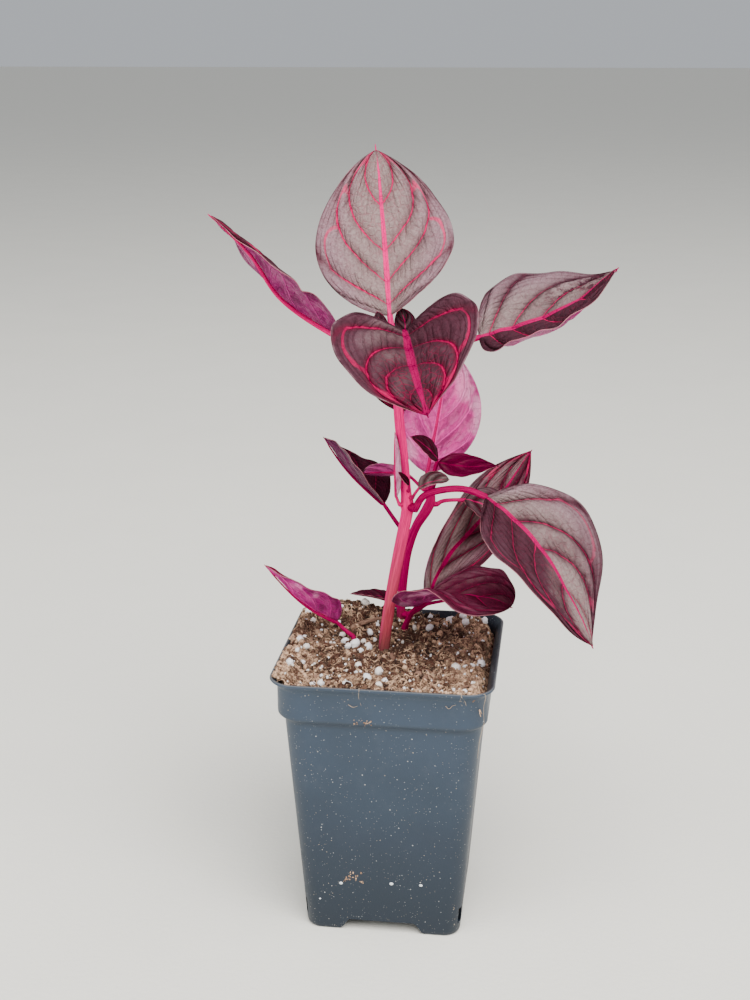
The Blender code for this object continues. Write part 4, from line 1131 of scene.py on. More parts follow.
def upper_finish(node, leaf, shifts):
    """Purple upper face with pink veins, sunken between quilted swells, under a dull film and painted
    sheen.
    """
    user = chosen("leaves")
    finish = Finish(f"{node}_upper_face")
    mask = vein_masks(finish, leaf, shifts)
    place, row, out, rung = mask["place"], mask["row"], mask["out"], mask["rung"]
    # tone is partly painted light and shade: it lifts leaves that lie in shade and darkens those that are
    # to look shaded.
    strength, tone = leaf["vein"], leaf["tone"]
    purple, bloom_and_sheen, flush = (Vector(colour) * tone for colour in (user.purple, user.bloom_and_sheen, user.flush))
    # The film is partly a painted sheen, set lighter on the halves and leaves that catch the light.
    left_base, left_tip, right_base, right_tip = leaf["bloom_and_sheen"]
    left = left_base + row * (left_tip - left_base)
    film = left + mask["right"] * (right_base + row * (right_tip - right_base) - left)
    film = film - (row * math.pi).wave() * (row * math.pi).wave() * leaf["sag"]
    cloud = finish.noise(place, 0.07, 4.0, 0.6) - 0.5
    # Painted shade in the creases beside the veins, with the dark marbling and a darker outer part.
    crease_shade_and_marbling = mask["glow"] * mask["glow"] * (0.32 - 0.25 * mask["bright"])
    marbling = finish.noise(place, 0.17, 4.0, 0.7).rise(0.46, 0.6)
    marbling = marbling * row.rise(0.35, 0.6) * out.rise(0.15, 0.5)
    crease_shade_and_marbling = crease_shade_and_marbling + marbling * leaf["blotch"]
    # The swells are painted lighter in their middles and darker toward the veins, as painted light and
    # shade.
    swell = mask["swell"] - 0.6
    crease_shade_and_marbling = crease_shade_and_marbling + out.rise(0.5, 0.9) * (1.0 - row.rise(0.75, 0.95)) * (0.5 - 0.5 * leaf["skin"])
    cover = film + cloud * 0.6 + swell * 0.25 - crease_shade_and_marbling - rung * 0.06 - out.rise(0.86, 1.0) * 0.25
    cover = cover.rise(0.0, 1.0)
    if leaf["skin"] < GLOSSY_SKIN:
        purple = purple.lerp(DULL_PURPLE, 0.27)
    purple = purple.lerp(WINE * tone, leaf["wine"])
    deep = finish.mix(finish.noise(place, 0.35, 3.0), purple * 0.6, purple * 1.6)
    bars = out.rise(0.3, 0.75) * (1.0 - rung) * leaf["ladder"] * (0.4 + swell) * cloud.rise(-0.15, 0.1)
    deep = finish.mix(bars, deep, PALE_BAR)
    pale = finish.mix(out.rise(0.3, 0.95), bloom_and_sheen, flush)
    pale = finish.mix(finish.noise(place, 0.9, 4.0, 0.7).rise(0.25, 0.75) * 0.5, pale, purple * 2.2)
    colour = finish.mix(cover, deep, pale)
    red = Vector(user.vein) * 0.35
    colour = finish.mix(mask["glow"] * mask["bright"] * (0.05 + 0.5 * strength**2), colour, red)
    vein = Vector(user.pale_vein).lerp(Vector(user.vein), strength)
    colour = finish.mix(mask["net"] * (0.04 + strength**2 * 0.5 * row.rise(0.35, 0.8)), colour, vein * 0.6)
    line = finish.mix(finish.noise(place, 0.5, 2.0), vein * 0.7, vein * 1.15)
    colour = finish.mix(mask["veins"] * (0.15 + 0.85 * mask["bright"]), colour, line)
    hot = Vector(chosen("stems").bright) * leaf["skin"] ** 0.8
    streak = finish.noise(finish.joined(row * 4.0, out * 40.0, 0.0), 1.5, 2.0)
    midrib = finish.mix(streak, hot * 0.6, hot * 1.3)
    colour = finish.mix(mask["rib"] * (1.0 - row.rise(0.93, 0.99)), colour, midrib)
    rim = finish.mix(cloud.rise(-0.1, 0.2), purple * 1.2, flush)
    colour = finish.mix(mask["margin"] * 0.7, colour, rim)
    grain = finish.noise(place, 2.6, 3.0, 0.7)
    height = grain * 0.15 + finish.noise(place, 0.6, 4.0, 0.6) * 0.9 + swell * (3.0 - mask["bright"])
    height = height - rung * 0.5 - mask["net"] * 0.3 - mask["veins"] * 0.5 + mask["rib"] * 0.5
    finish.relief(height, 0.6)
    finish.shine(0.15 if leaf["skin"] > GLOSSY_SKIN else 0.0, LEAF_SHINE)
    return finish.surface(colour, 0.5 + (grain - 0.5) * 0.25 + cover * 0.15 - mask["rib"] * 0.08)


def under_finish(node, leaf, shifts):
    """Magenta underside, darker toward its edge, with paler raised veins and a net between them."""
    user = chosen("leaves")
    finish = Finish(f"{node}_underside")
    mask = vein_masks(finish, leaf, shifts)
    place, row, out = mask["place"], mask["row"], mask["out"]
    # tone is partly painted light and shade: it lifts leaves that lie in shade and darkens those that are
    # to look shaded.
    base = Vector(user.underside).lerp(Vector(user.pale_underside), min(leaf["under"], 1.0))
    base = base.lerp(Vector(user.young), max(leaf["under"] - 1.0, 0.0)) * leaf["tone"]
    vein = base.lerp(RAISED_VEIN * leaf["tone"], 0.2 + 0.4 * min(leaf["under"] + 0.3, 1.0))
    cloud = finish.noise(place, 0.12, 4.0, 0.6)
    colour = finish.mix(cloud.rise(0.3, 0.7), base * 0.66, base.lerp(vein, 0.2) * 1.2)
    # Pale pleats, painted sheen highlights that grow with the leaf's sheen.
    pleat_highlight = finish.noise(finish.joined(row * 9.0, out * 2.0, 0.0), 2.0, 3.0).rise(0.4, 0.65)
    colour = finish.mix(pleat_highlight * (0.1 + 0.6 * leaf["sheen"]), colour, base.lerp(PLEAT_HIGHLIGHT, 0.4))
    # Dark folds, painted shade.
    fold = finish.noise(finish.joined(row * 6.0, out * 1.6, 2.0), 1.6, 3.0).rise(0.5, 0.66)
    colour = finish.mix(fold * 0.6, colour, base * 0.36)
    colour = finish.mix(out.rise(0.45, 0.95) * 0.6, colour, base * 0.4)
    colour = finish.mix(mask["glow"] * 0.2, colour, base.lerp(vein, 0.5))
    colour = finish.mix(mask["net"] * 0.25, colour, vein * 0.8)
    colour = finish.mix(mask["veins"] * 0.75, colour, vein)
    colour = finish.mix(mask["rib"] * 0.9, colour, vein * 1.1)
    # Pale patches toward the edge, painted sheen highlights.
    sheen_patch = finish.noise(place, 0.06, 3.0, 0.6).rise(0.52, 0.66) * out.rise(0.25, 0.6)
    colour = finish.mix(sheen_patch * leaf["sheen"] * 0.7, colour, SHEEN_HIGHLIGHT * leaf["tone"])
    colour = finish.mix(mask["margin"] * 0.6, colour, vein.lerp(Vector(user.bloom_and_sheen), 0.4))
    grain = finish.noise(place, 2.2, 3.0, 0.7)
    height = grain * 0.3 + mask["veins"] * 1.1 + mask["net"] * 0.5 + mask["rung"] * 0.25 + mask["rib"]
    height = height - mask["swell"] * 1.8
    finish.relief(height, 0.5)
    finish.shine(0.2, UNDERSIDE_SHINE)
    return finish.surface(colour, 0.4 + (grain - 0.5) * 0.25)


def margin_finish():
    """Thin pale margin all round a blade."""
    finish = Finish("blade_margin", 0.45)
    place = finish.place()
    user = chosen("leaves")
    dull = Vector(user.bloom_and_sheen).lerp(Vector(user.pale_vein), 0.3)
    colour = finish.mix(finish.noise(place, 0.4), dull * 0.5, dull * 1.1)
    finish.relief(finish.noise(place, 2.0), 0.1)
    return finish.surface(colour)


def petiole_finish(node, leaf):
    """Fleshy pink petiole with fine streaks along it and darker spots."""
    finish = Finish(f"{node}_petiole")
    cosine, sine = finish.pair("place")
    length, _ = finish.pair("span")
    pink = Vector(chosen("stems").bright) * leaf["skin"]
    place = finish.place()
    streaks = finish.noise(finish.joined(cosine * 3.0, sine * 3.0, length * 0.12), 1.4, 4.0, 0.6)
    colour = finish.mix(streaks.rise(0.3, 0.7), pink * 0.5, pink * 1.1)
    spots = finish.noise(place, 0.25, 3.0)
    colour = finish.mix(spots.rise(0.52, 0.75) * 0.5, colour, PETIOLE_SPOT)
    finish.relief(streaks * 0.8 + finish.noise(place, 3.0, 3.0) * 0.3, 0.25)
    finish.shine(0.0)
    return finish.surface(colour, 0.36 + (streaks - 0.5) * 0.2)


def stem_finish(name, low, high, deep):
    """Streaked stem skin, salmon under low, pink over high, a painted highlight down one side, a soiled
    foot.
    """
    finish = Finish(name)
    cosine, sine = finish.pair("place")
    length, _ = finish.pair("span")
    user = chosen("stems")
    place = finish.place()
    bright, woody = Vector(user.bright) * deep, Vector(user.woody)
    streaks = finish.noise(finish.joined(cosine * 2.6, sine * 2.6, length * 0.06), 1.5, 4.0, 0.55)
    fine = finish.noise(finish.joined(cosine * 9.0, sine * 9.0, length * 0.35), 1.5, 3.0, 0.6)
    age = (finish.height() + (streaks - 0.5) * 26.0).rise(low, high)
    lower = finish.mix(streaks.rise(0.3, 0.7), woody * 0.85, woody.lerp(SALMON, 0.5))
    upper = finish.mix(streaks.rise(0.3, 0.7), bright * 0.72, bright * 1.25)
    colour = finish.mix(age, lower, upper)
    # Painted highlight down one side of the stem.
    ridge = (cosine * 0.6 + 0.25 + (fine - 0.5) * 0.5).rise(0.45, 0.85)
    colour = finish.mix(ridge * 0.3, colour, bright.lerp(STEM_SIDE_HIGHLIGHT, 0.5))
    soiled = 1.0 - (finish.height() + (fine - 0.5) * 16.0).rise(111.0, 123.0)
    colour = finish.mix(soiled * 0.75, colour, SOILED_STEM)
    finish.relief(streaks + fine * 0.6 + finish.noise(place, 2.6, 3.0) * 0.3, 0.25)
    finish.shine(0.0)
    return finish.surface(colour, 0.38 + (fine - 0.5) * 0.25 + soiled * 0.3)


def corner_at(height):
    """Corner radius of the pot at a height."""
    return POT_CORNER_BASE + (POT_CORNER_TOP - POT_CORNER_BASE) * height / POT_HEIGHT


def body_half(height):
    """Half width of the pot's outside below the rim band."""
    return POT_BASE_HALF + (POT_BODY_TOP_HALF - POT_BASE_HALF) * height / POT_BAND_BOTTOM


def rounded_square(half, corner, steps):
    """Outline of a square with round corners, anticlockwise."""
    angle = np.linspace(0.0, math.pi / 2, steps + 1)
    x = half - corner + corner * np.cos(angle)
    y = half - corner + corner * np.sin(angle)
    quarters = []
    for quarter in range(4):
        c, s = math.cos(quarter * math.pi / 2), math.sin(quarter * math.pi / 2)
        quarters.append(np.stack([x * c - y * s, x * s + y * c], -1))
    return np.vstack(quarters)


def pot_ring(half, height, inset=0.0):
    """One level ring of the pot, its corners tightened by the inset."""
    outline = rounded_square(half, max(corner_at(height) - inset, 1.0), POT_CORNER_STEPS)
    return np.column_stack([outline, np.full(len(outline), height)])


def pot_rings():
    """Rings of the pot: under the floor, up the outside, over the lip and down the inside."""
    step_half = body_half(POT_BAND_BOTTOM - 1.6)
    outside = [
        (POT_BASE_HALF - 1.0, 0.0), (POT_BASE_HALF - 0.5, 0.2), (body_half(1.0) - 0.15, 0.9),
        (body_half(2.2), 2.2), (body_half(30.0), 30.0), (body_half(60.0), 60.0),
        (body_half(POT_BAND_BOTTOM - 3.0), POT_BAND_BOTTOM - 3.0), (step_half, POT_BAND_BOTTOM - 1.6),
        (step_half + 0.5, POT_BAND_BOTTOM - 0.8), (POT_BAND_HALF - 0.5, POT_BAND_BOTTOM + 0.6),
        (POT_BAND_HALF - 0.1, POT_BAND_BOTTOM + 1.3), (POT_BAND_HALF, POT_BAND_BOTTOM + 2.4),
        (POT_BAND_HALF + 0.1, POT_BAND_TOP - 0.6), (POT_BAND_HALF + 0.5, POT_BAND_TOP + 0.4),
        (POT_LIP_HALF - 1.0, POT_HEIGHT - 2.1), (POT_LIP_HALF - 0.35, POT_HEIGHT - 1.4),
        (POT_LIP_HALF, POT_HEIGHT - 0.8), (POT_LIP_HALF - 0.05, POT_HEIGHT - 0.3),
        (POT_LIP_HALF - 0.25, POT_HEIGHT),
    ]
    inside = [
        (POT_LIP_HALF - 0.75, POT_HEIGHT), (POT_LIP_HALF - 1.1, POT_HEIGHT - 0.3),
        (POT_BAND_HALF + 0.3, POT_HEIGHT - 1.6), (POT_BAND_HALF - POT_WALL, POT_BAND_TOP - 0.8),
        (POT_BAND_HALF - POT_WALL, POT_BAND_BOTTOM + 1.4), (step_half - POT_WALL, POT_BAND_BOTTOM - 2.0),
        (body_half(POT_FLOOR_TOP + 2.0) - POT_WALL, POT_FLOOR_TOP + 2.0),
        (body_half(POT_FLOOR_TOP) - POT_WALL - 0.6, POT_FLOOR_TOP),
    ]
    underside = [(body_half(POT_FLOOR_BOTTOM) - 2.6, POT_FLOOR_BOTTOM), (POT_BASE_HALF - 2.8, 0.0)]
    rings = [pot_ring(half, height, 2.0) for half, height in underside]
    rings += [pot_ring(half, height) for half, height in outside]
    return rings + [pot_ring(half, height, POT_WALL) for half, height in inside]


def tool_object(name, stock):
    """Cutting tool from a stock of faces."""
    mesh = bpy.data.meshes.new(name)
    mesh.from_pydata(((np.vstack(stock.points) + POT_CENTRE) * MM).tolist(), [], stock.faces)
    tool = bpy.data.objects.new(name, mesh)
    bpy.context.scene.collection.objects.link(tool)
    return tool


def notch_tools():
    """Bars that notch the four sides between the feet, their ends sweeping up in an S."""
    tools = []
    reach = POT_LIP_HALF
    sweep = np.linspace(0.0, 1.0, 9)
    edge = NOTCH_WIDTH / 2 - NOTCH_SLANT * sweep
    top = NOTCH_STEP + (NOTCH_HEIGHT - NOTCH_STEP) * (3 * sweep**2 - 2 * sweep**3)
    right = list(zip(edge, top))
    foot = NOTCH_WIDTH / 2 + NOTCH_FLARE
    profile = [(-foot, -1.0), (foot, -1.0), *right]
    profile += [(-y, z) for y, z in reversed(right)]
    for turn in (0, 1):
        stock = Stock()
        rings = np.array([[(end, y, z) for y, z in profile] for end in (-reach, reach)])
        if turn:
            rings = np.stack([-rings[..., 1], rings[..., 0], rings[..., 2]], -1)
        add_rings(stock, rings)
        tools.append(tool_object(f"notch_{turn}", stock))
    return tools


def drain_tools():
    """Rods for the drain holes in the floor and blocks for the upright slots at the corners."""
    tools = []
    spots = [(x * DRAIN_SPACING, y * DRAIN_SPACING) for x in (-1, 0, 1) for y in (-1, 0, 1)]
    for number, (x, y) in enumerate(spots):
        stock = Stock()
        axis = [(x, y, height) for height in (0.0, POT_FLOOR_BOTTOM, DRAIN_TOP)]
        add_rod(stock, axis, DRAIN_RADIUS, DRAIN_SIDES)
        tools.append(tool_object(f"drain_{number}", stock))
    out = (POT_BASE_HALF - POT_CORNER_BASE * 0.3) * math.sqrt(2)
    for number in range(4):
        turn = math.radians(45 + 90 * number)
        way = np.array((math.cos(turn), math.sin(turn)))
        side = np.array((-math.sin(turn), math.cos(turn)))
        shift = CORNER_SLOT_SHIFT if number % 2 else -CORNER_SLOT_SHIFT
        stock = Stock()
        rings = []
        for height in (CORNER_SLOT_BOTTOM, CORNER_SLOT_TOP):
            ends = ((-1, -1), (1, -1), (1, 1), (-1, 1))
            corners = [(a * CORNER_SLOT_REACH, b * CORNER_SLOT_WIDTH / 2) for a, b in ends]
            flat = [way * (out + along) + side * (shift + across) for along, across in corners]
            rings.append([(*spot, height) for spot in flat])
        add_rings(stock, rings)
        tools.append(tool_object(f"corner_slot_{number}", stock))
    return tools


def cut(made, tools):
    """Take the tools out of a piece and remove them."""
    group = bpy.data.collections.new("tools")
    for tool in tools:
        group.objects.link(tool)
    change = made.modifiers.new("cut", "BOOLEAN")
    change.operand_type = "COLLECTION"
    change.collection = group
    change.operation = "DIFFERENCE"
    change.solver = "MANIFOLD"
    bpy.context.view_layer.update()
    evaluated = made.evaluated_get(bpy.context.evaluated_depsgraph_get())
    mesh = bpy.data.meshes.new_from_object(evaluated)
    made.modifiers.clear()
    made.data = mesh
    for tool in tools:
        bpy.data.objects.remove(tool)
    bpy.data.collections.remove(group)


def plastic_finish():
    """Slate plastic with faint blotches and pale specks, painted shade inside, under the band and to its
    foot.
    """
    user = chosen("pot")
    finish = Finish("slate_plastic")
    place = finish.place()
    slate, dust = Vector(user.plastic), Vector(user.dust)
    blotch = finish.noise(place, 0.035, 5.0, 0.6)
    colour = finish.mix(blotch.rise(0.3, 0.7), slate * 0.93, slate * 1.09)
    haze = finish.noise(place, 0.16, 5.0, 0.7).rise(0.5, 0.8)
    colour = finish.mix(haze * 0.05, colour, dust * 0.5)
    # Painted shade, darker toward the foot.
    colour = finish.mix(1.0 - finish.height().rise(-10.0, 115.0), colour, slate * 0.4)
    # Paler top of the lip, dust with a painted highlight.
    colour = finish.mix(finish.height().rise(114.0, 114.5) * 0.5, colour, LIP_DUST_AND_HIGHLIGHT)
    # Painted shade down the inside of the pot, on the rings that carry it.
    inner, _ = finish.pair("place")
    colour = finish.mix(inner * 0.85, colour, slate * 0.2)
    # Painted shade in a line under the band.
    step = 1.0 - abs(finish.height() - (POT_BAND_BOTTOM - 0.6)).rise(0.6, 2.2)
    colour = finish.mix(step * 0.35, colour, slate * 0.45)
    specks = None
    for scale, reach, share in ((0.22, 0.075, 0.5), (0.5, 0.12, 0.5), (1.1, 0.15, 0.55)):
        near = 1.0 - finish.cells(place, scale).rise(reach * 0.45, reach)
        pick = finish.node("ShaderNodeSeparateColor", None, {0: finish.cells(place, scale, out="Color")})
        mark = near * (pick > share)
        specks = mark if specks is None else specks.most(mark)
    tan = finish.mix(finish.noise(place, 0.4, 1.0).rise(0.45, 0.6), dust, TAN_SPECK)
    colour = finish.mix(specks * 0.8, colour, tan)
    fine = finish.noise(place, 1.6, 3.0, 0.6)
    finish.relief(fine * 0.5 + specks * 0.9 + finish.noise(place, 0.12, 2.0) * 1.6, 0.12)
    finish.shine(0.25)
    return finish.surface(colour, 0.42 + (blotch - 0.5) * 0.25 + specks * 0.3 + haze * 0.12)


def lump_places():
    """Seeded places, heights and reaches of the lumps of the potting mix."""
    draw = np.random.default_rng(SEED)
    places = draw.uniform(-38.0, 38.0, (LUMPS, 2))
    heights = draw.uniform(0.3, 1.0, LUMPS) * LUMP_HEIGHT
    reaches = draw.uniform(0.6, 1.2, LUMPS) * LUMP_REACH
    return places, heights, reaches


def mix_height(x, y):
    """Height of the potting mix: higher at the back, most at the left, and sunk at the right wall."""
    x, y = np.asarray(x, float), np.asarray(y, float)
    off_mound = (x - MIX_MOUND_X) ** 2 + (y - MIX_MOUND_Y) ** 2
    mound = MIX_MOUND * np.exp(-off_mound / MIX_MOUND_REACH**2)
    rise = MIX_BACK_RISE / (1.0 + np.exp(-(y - MIX_BACK_START) / MIX_BACK_RUN))
    sunk = MIX_SUNK / (1.0 + np.exp(-(x - MIX_SUNK_START) / MIX_SUNK_RUN))
    raised = MIX_RAISED / (1.0 + np.exp((x - MIX_RAISED_START) / MIX_RAISED_RUN))
    waves = 0.5 * np.sin(x * 0.21 + 1.0) * np.cos(y * 0.17)
    level = MIX_LEVEL + rise + mound - (sunk - raised) + waves
    for spot, height, reach in zip(*lump_places()):
        level = level + height * np.exp(-((x - spot[0]) ** 2 + (y - spot[1]) ** 2) / reach**2)
    return level


def crumb_height(x, y):
    """Height of the mix with its crumb structure, hollowed round the main stem."""
    rough = 1.1 * clouds(x, y, 3.4, 21) + 0.7 * clouds(x, y, 1.6, 22) + 0.4 * clouds(x, y, 0.8, 23)
    off_stem = (x - MAIN_STEM[0][0]) ** 2 + (y - MAIN_STEM[0][1]) ** 2
    hollow = STEM_HOLLOW * np.exp(-off_stem / STEM_HOLLOW_REACH**2)
    return mix_height(x, y) + rough - hollow


def add_mix_body(stock):
    """Body of the mix that fills the pot, with a crumbly top."""
    corner = POT_CORNER_TOP - POT_WALL
    outline = rounded_square(POT_BAND_HALF - POT_WALL - MIX_GAP, corner, MIX_CORNER_STEPS)
    rings = []
    walls = (
        (POT_FLOOR_TOP + MIX_GAP, body_half(POT_FLOOR_TOP + MIX_GAP)),
        (POT_BAND_BOTTOM - 2.1, body_half(POT_BAND_BOTTOM - 2.1)),
        (POT_BAND_BOTTOM + 1.5, POT_BAND_HALF),
    )
    for height, half in walls:
        flat = rounded_square(half - POT_WALL - MIX_GAP, corner_at(height) - POT_WALL, MIX_CORNER_STEPS)
        rings.append(np.column_stack([flat, np.full(len(flat), height)]))
    for ring in range(MIX_RINGS, 0, -1):
        flat = even_outline(outline) * (ring / MIX_RINGS)
        top = crumb_height(flat[:, 0], flat[:, 1]) - (0.4 if ring == MIX_RINGS else 0.0)
        rings.append(np.column_stack([flat, top]))
    add_rings(stock, rings)


def even_outline(outline):
    """The same outline with its points spread evenly, the first one kept."""
    closed = np.vstack([outline, outline[:1]])
    length = np.concatenate([[0.0], np.cumsum(np.linalg.norm(np.diff(closed, axis=0), axis=1))])
    want = np.linspace(0.0, length[-1], len(outline), endpoint=False)
    return np.column_stack([np.interp(want, length, closed[:, k]) for k in range(2)])


def ball(rounds):
    """Points and faces of a small ball of triangles."""
    bm = bmesh.new()
    bmesh.ops.create_icosphere(bm, subdivisions=rounds, radius=1.0)
    points = np.array([vert.co[:] for vert in bm.verts])
    faces = np.array([[vert.index for vert in face.verts] for face in bm.faces])
    bm.free()
    return points, faces


def turned(points, draw):
    """The points turned every way at random."""
    a, b, c = draw.uniform(0.0, 2 * math.pi, 3)
    turn = Matrix.Rotation(a, 3, "X") @ Matrix.Rotation(b, 3, "Y") @ Matrix.Rotation(c, 3, "Z")
    return points @ np.array(turn).T


def mix_spot(draw):
    """Random spot on the mix, nearly up to the wall and its round corners."""
    while True:
        x, y = draw.uniform(-SPOT_EDGE, SPOT_EDGE, 2)
        past_x, past_y = abs(x) - SPOT_CORNER_START, abs(y) - SPOT_CORNER_START
        if min(past_x, past_y) < 0 or math.hypot(past_x, past_y) < SPOT_CORNER_REACH:
            return x, y


def add_crumbs(stock, count, draw):
    """Loose crumbs of peat and bark, each with its own tone."""
    small, large = ball(1), ball(2)
    for number in range(count):
        big = number % 5 == 0
        points, faces = large if big else small
        size = draw.uniform(0.7, 1.6) if big else draw.uniform(0.3, 0.8)
        dents = 1.0 + 0.3 * draw.uniform(-1.0, 1.0, len(points))
        shape = (1.0, draw.uniform(0.6, 1.0), draw.uniform(0.4, 0.9))
        flat = turned(points * dents[:, None] * shape, draw)
        x, y = mix_spot(draw)
        z = float(crumb_height(x, y)) + size * draw.uniform(-0.1, 0.45)
        tone = (draw.uniform(0.0, 1.0), draw.uniform(0.0, 1.0))
        stock.add(flat * size + (x, y, z), faces, 0, tone)


def add_fringe(stock, count, draw):
    """Crumbs that lean on the flare of the lip, at the left and along the front."""
    points, faces = ball(2)
    for number in range(count):
        run, reach = draw.uniform(-FRINGE_RUN, FRINGE_RUN), draw.uniform(0.0, 1.0)
        left = number % 3 > 0
        edge = FRINGE_START + reach * (FRINGE_LEFT if left else FRINGE_FRONT)
        x, y = (-edge, run) if left else (run, -edge)
        foot = (-FRINGE_START, run) if left else (run, -FRINGE_START)
        level = float(crumb_height(*foot))
        size = draw.uniform(0.35, 1.0)
        z = level + (POT_HEIGHT - 0.3 - level) * reach + draw.uniform(-0.2, 0.5)
        crumb = turned(points * (1.0, draw.uniform(0.5, 1.0), draw.uniform(0.4, 0.9)), draw) * size
        stock.add(crumb + (x, y, z), faces, 0, (draw.uniform(0.3, 1.0), draw.uniform(0.0, 1.0)))


def add_fibres(stock, count, draw):
    """Thin bent fibres lying on the mix."""
    for number in range(count):
        x, y = mix_spot(draw)
        if number % 3 == 0:
            y = draw.uniform(-41.0, -22.0)
        turn, length = draw.uniform(0.0, 2 * math.pi), draw.uniform(1.8, 6.0)
        bend = draw.uniform(-0.9, 0.9)
        way = np.linspace(-0.5, 0.5, 6)
        angle = turn + bend * way * 2.0
        xs, ys = x + length * way * np.cos(angle), y + length * way * np.sin(angle)
        xs, ys = np.clip((xs, ys), -FIBRE_EDGE, FIBRE_EDGE)
        lift = draw.uniform(0.1, 0.5)
        arch, tilt = draw.uniform(0.0, 1.5), draw.uniform(-0.8, 0.9)
        zs = crumb_height(xs, ys) + (lift + arch * (0.25 - way**2) + tilt * way)
        radius = draw.uniform(0.08, 0.22)
        tone = (draw.uniform(0.3, 1.0), draw.uniform(0.0, 1.0))
        first = stock.total
        add_rod(stock, np.column_stack([xs, ys, zs]), radius * (1.0 - way**2 * 1.5), 5)
        stock.place[-1] = np.broadcast_to(tone, (stock.total - first, 2))


def add_perlite(stock, draw, specks):
    """Puffed white grains, the larger ones where they lie in the pot, and small specks."""
    spots = list(PERLITE)
    for _ in range(specks):
        spots.append((*mix_spot(draw), draw.uniform(0.22, 0.6)))
    for x, y, radius in spots:
        points, faces = ball(3 if radius > 0.9 else 2)
        bumps = clouds(points[:, 0] + 7 * x, points[:, 1] + 3 * points[:, 2] + y, 0.6, 31)
        bumps = bumps + 0.6 * clouds(points[:, 2] + 5 * y, points[:, 0] - points[:, 1], 0.3, 32)
        shape = (draw.uniform(0.85, 1.15), draw.uniform(0.75, 1.0), draw.uniform(0.65, 0.95))
        grain = turned(points * (1.0 + 0.24 * bumps)[:, None] * shape, draw) * radius * 1.25
        z = float(crumb_height(x, y)) + radius * 0.5
        stock.add(grain + (x, y, z), faces, 0, (draw.uniform(0.0, 1.0), 0.0))


def add_chips(stock, draw):
    """A twig, a few thin sticks and bark flakes."""
    along = np.linspace(0.0, 1.0, 24)
    flat = through([(x, y, 0.0) for x, y in TWIG], along)
    flat[:, 2] = mix_height(flat[:, 0], flat[:, 1]) + 0.9
    add_rod(stock, flat, 1.15 - 0.4 * along + 0.1 * np.sin(along * 21.0), 14, 0, 0.06, 4)
    for start, stop, radius in STICKS:
        way = np.linspace(0.0, 1.0, 9)[:, None]
        spots = np.array(start) * (1 - way) + np.array(stop) * way
        top = crumb_height(spots[:, 0], spots[:, 1]).mean() + 0.55
        path = np.column_stack([spots, top + 0.4 * np.sin(way[:, 0] * 5.0)])
        add_rod(stock, path, radius * (1.0 - 0.3 * way[:, 0]), 8, 0, 0.08, 3)
    points, faces = ball(2)
    for _ in range(FLAKES):
        x, y = mix_spot(draw)
        size = draw.uniform(0.9, 2.1)
        flake = turned(points * (1.0, draw.uniform(0.4, 0.8), 0.18), draw) * size
        stock.add(flake + (x, y, float(crumb_height(x, y)) + 0.5), faces, 0, (draw.uniform(0.0, 1.0), 1.0))


def soil_finish(name, spread, dry=0.0):
    """Peat and fibre in dark clumps and pale flecks, paler at the front, with painted light toward both
    sides.
    """
    user = chosen("mix")
    finish = Finish(name, 0.92)
    tone, other = finish.pair("place")
    place = finish.place()
    dark, light = Vector(user.dark), Vector(user.light)
    broad = finish.noise(place, 0.09, 4.0, 0.6)
    fine = finish.noise(place, 1.3, 5.0, 0.7)
    front = 1.0 - finish.part(1).rise(-44.0, 16.0)
    share = tone * tone * spread + broad * (1.0 - spread * 0.4) + fine * 1.3 + front * 0.07 + (dry - 0.94)
    # Painted light toward both sides, lifting the shade of the leaves and the pot's wall.
    share = share + finish.part(0).rise(4.0, 26.0) * 0.3 + (1.0 - finish.part(0).rise(-44.0, -26.0)) * 0.14
    colour = finish.mix(share.rise(0.12, 0.95), dark, light)
    red = finish.mix(other, RED_PEAT, BROWN_FIBRE)
    colour = finish.mix(fine.rise(0.48, 0.75) * 0.45, colour, red)
    clumps = finish.noise(place, 0.3, 4.0, 0.7).rise(0.46, 0.58)
    colour = finish.mix(clumps * (0.85 - 0.4 * dry), colour, dark.lerp(DARK_CLUMP, 0.5))
    flecks = 1.0 - finish.cells(place, 0.9).rise(0.1, 0.2)
    colour = finish.mix(flecks * 0.7, colour, STRAW_FLECK)
    finish.relief(fine + finish.noise(place, 3.5, 3.0) * 0.6, 0.6)
    finish.shine(0.25)
    return finish.surface(colour)


def perlite_finish():
    """Chalky white grains with small pits."""
    finish = Finish("perlite", 0.85)
    tone, _ = finish.pair("place")
    place = finish.place()
    white = Vector(chosen("mix").perlite)
    colour = finish.mix(tone.rise(0.55, 1.0) * 0.6, white, STAINED_PERLITE)
    pits = finish.noise(place, 2.2, 4.0, 0.7)
    colour = finish.mix(pits.rise(0.55, 0.8) * 0.5, colour, PERLITE_PIT)
    finish.relief(pits, 0.4)
    return finish.surface(colour)


def wood_finish():
    """Dry brown stick with its grain along it."""
    finish = Finish("dry_twig", 0.8)
    cosine, sine = finish.pair("place")
    length, _ = finish.pair("span")
    grain = finish.noise(finish.joined(cosine * 4.0, sine * 4.0, length * 0.3), 1.2, 4.0, 0.7)
    colour = finish.mix(grain.rise(0.3, 0.75), DARK_WOOD, LIGHT_WOOD)
    finish.relief(grain, 0.35)
    return finish.surface(colour)


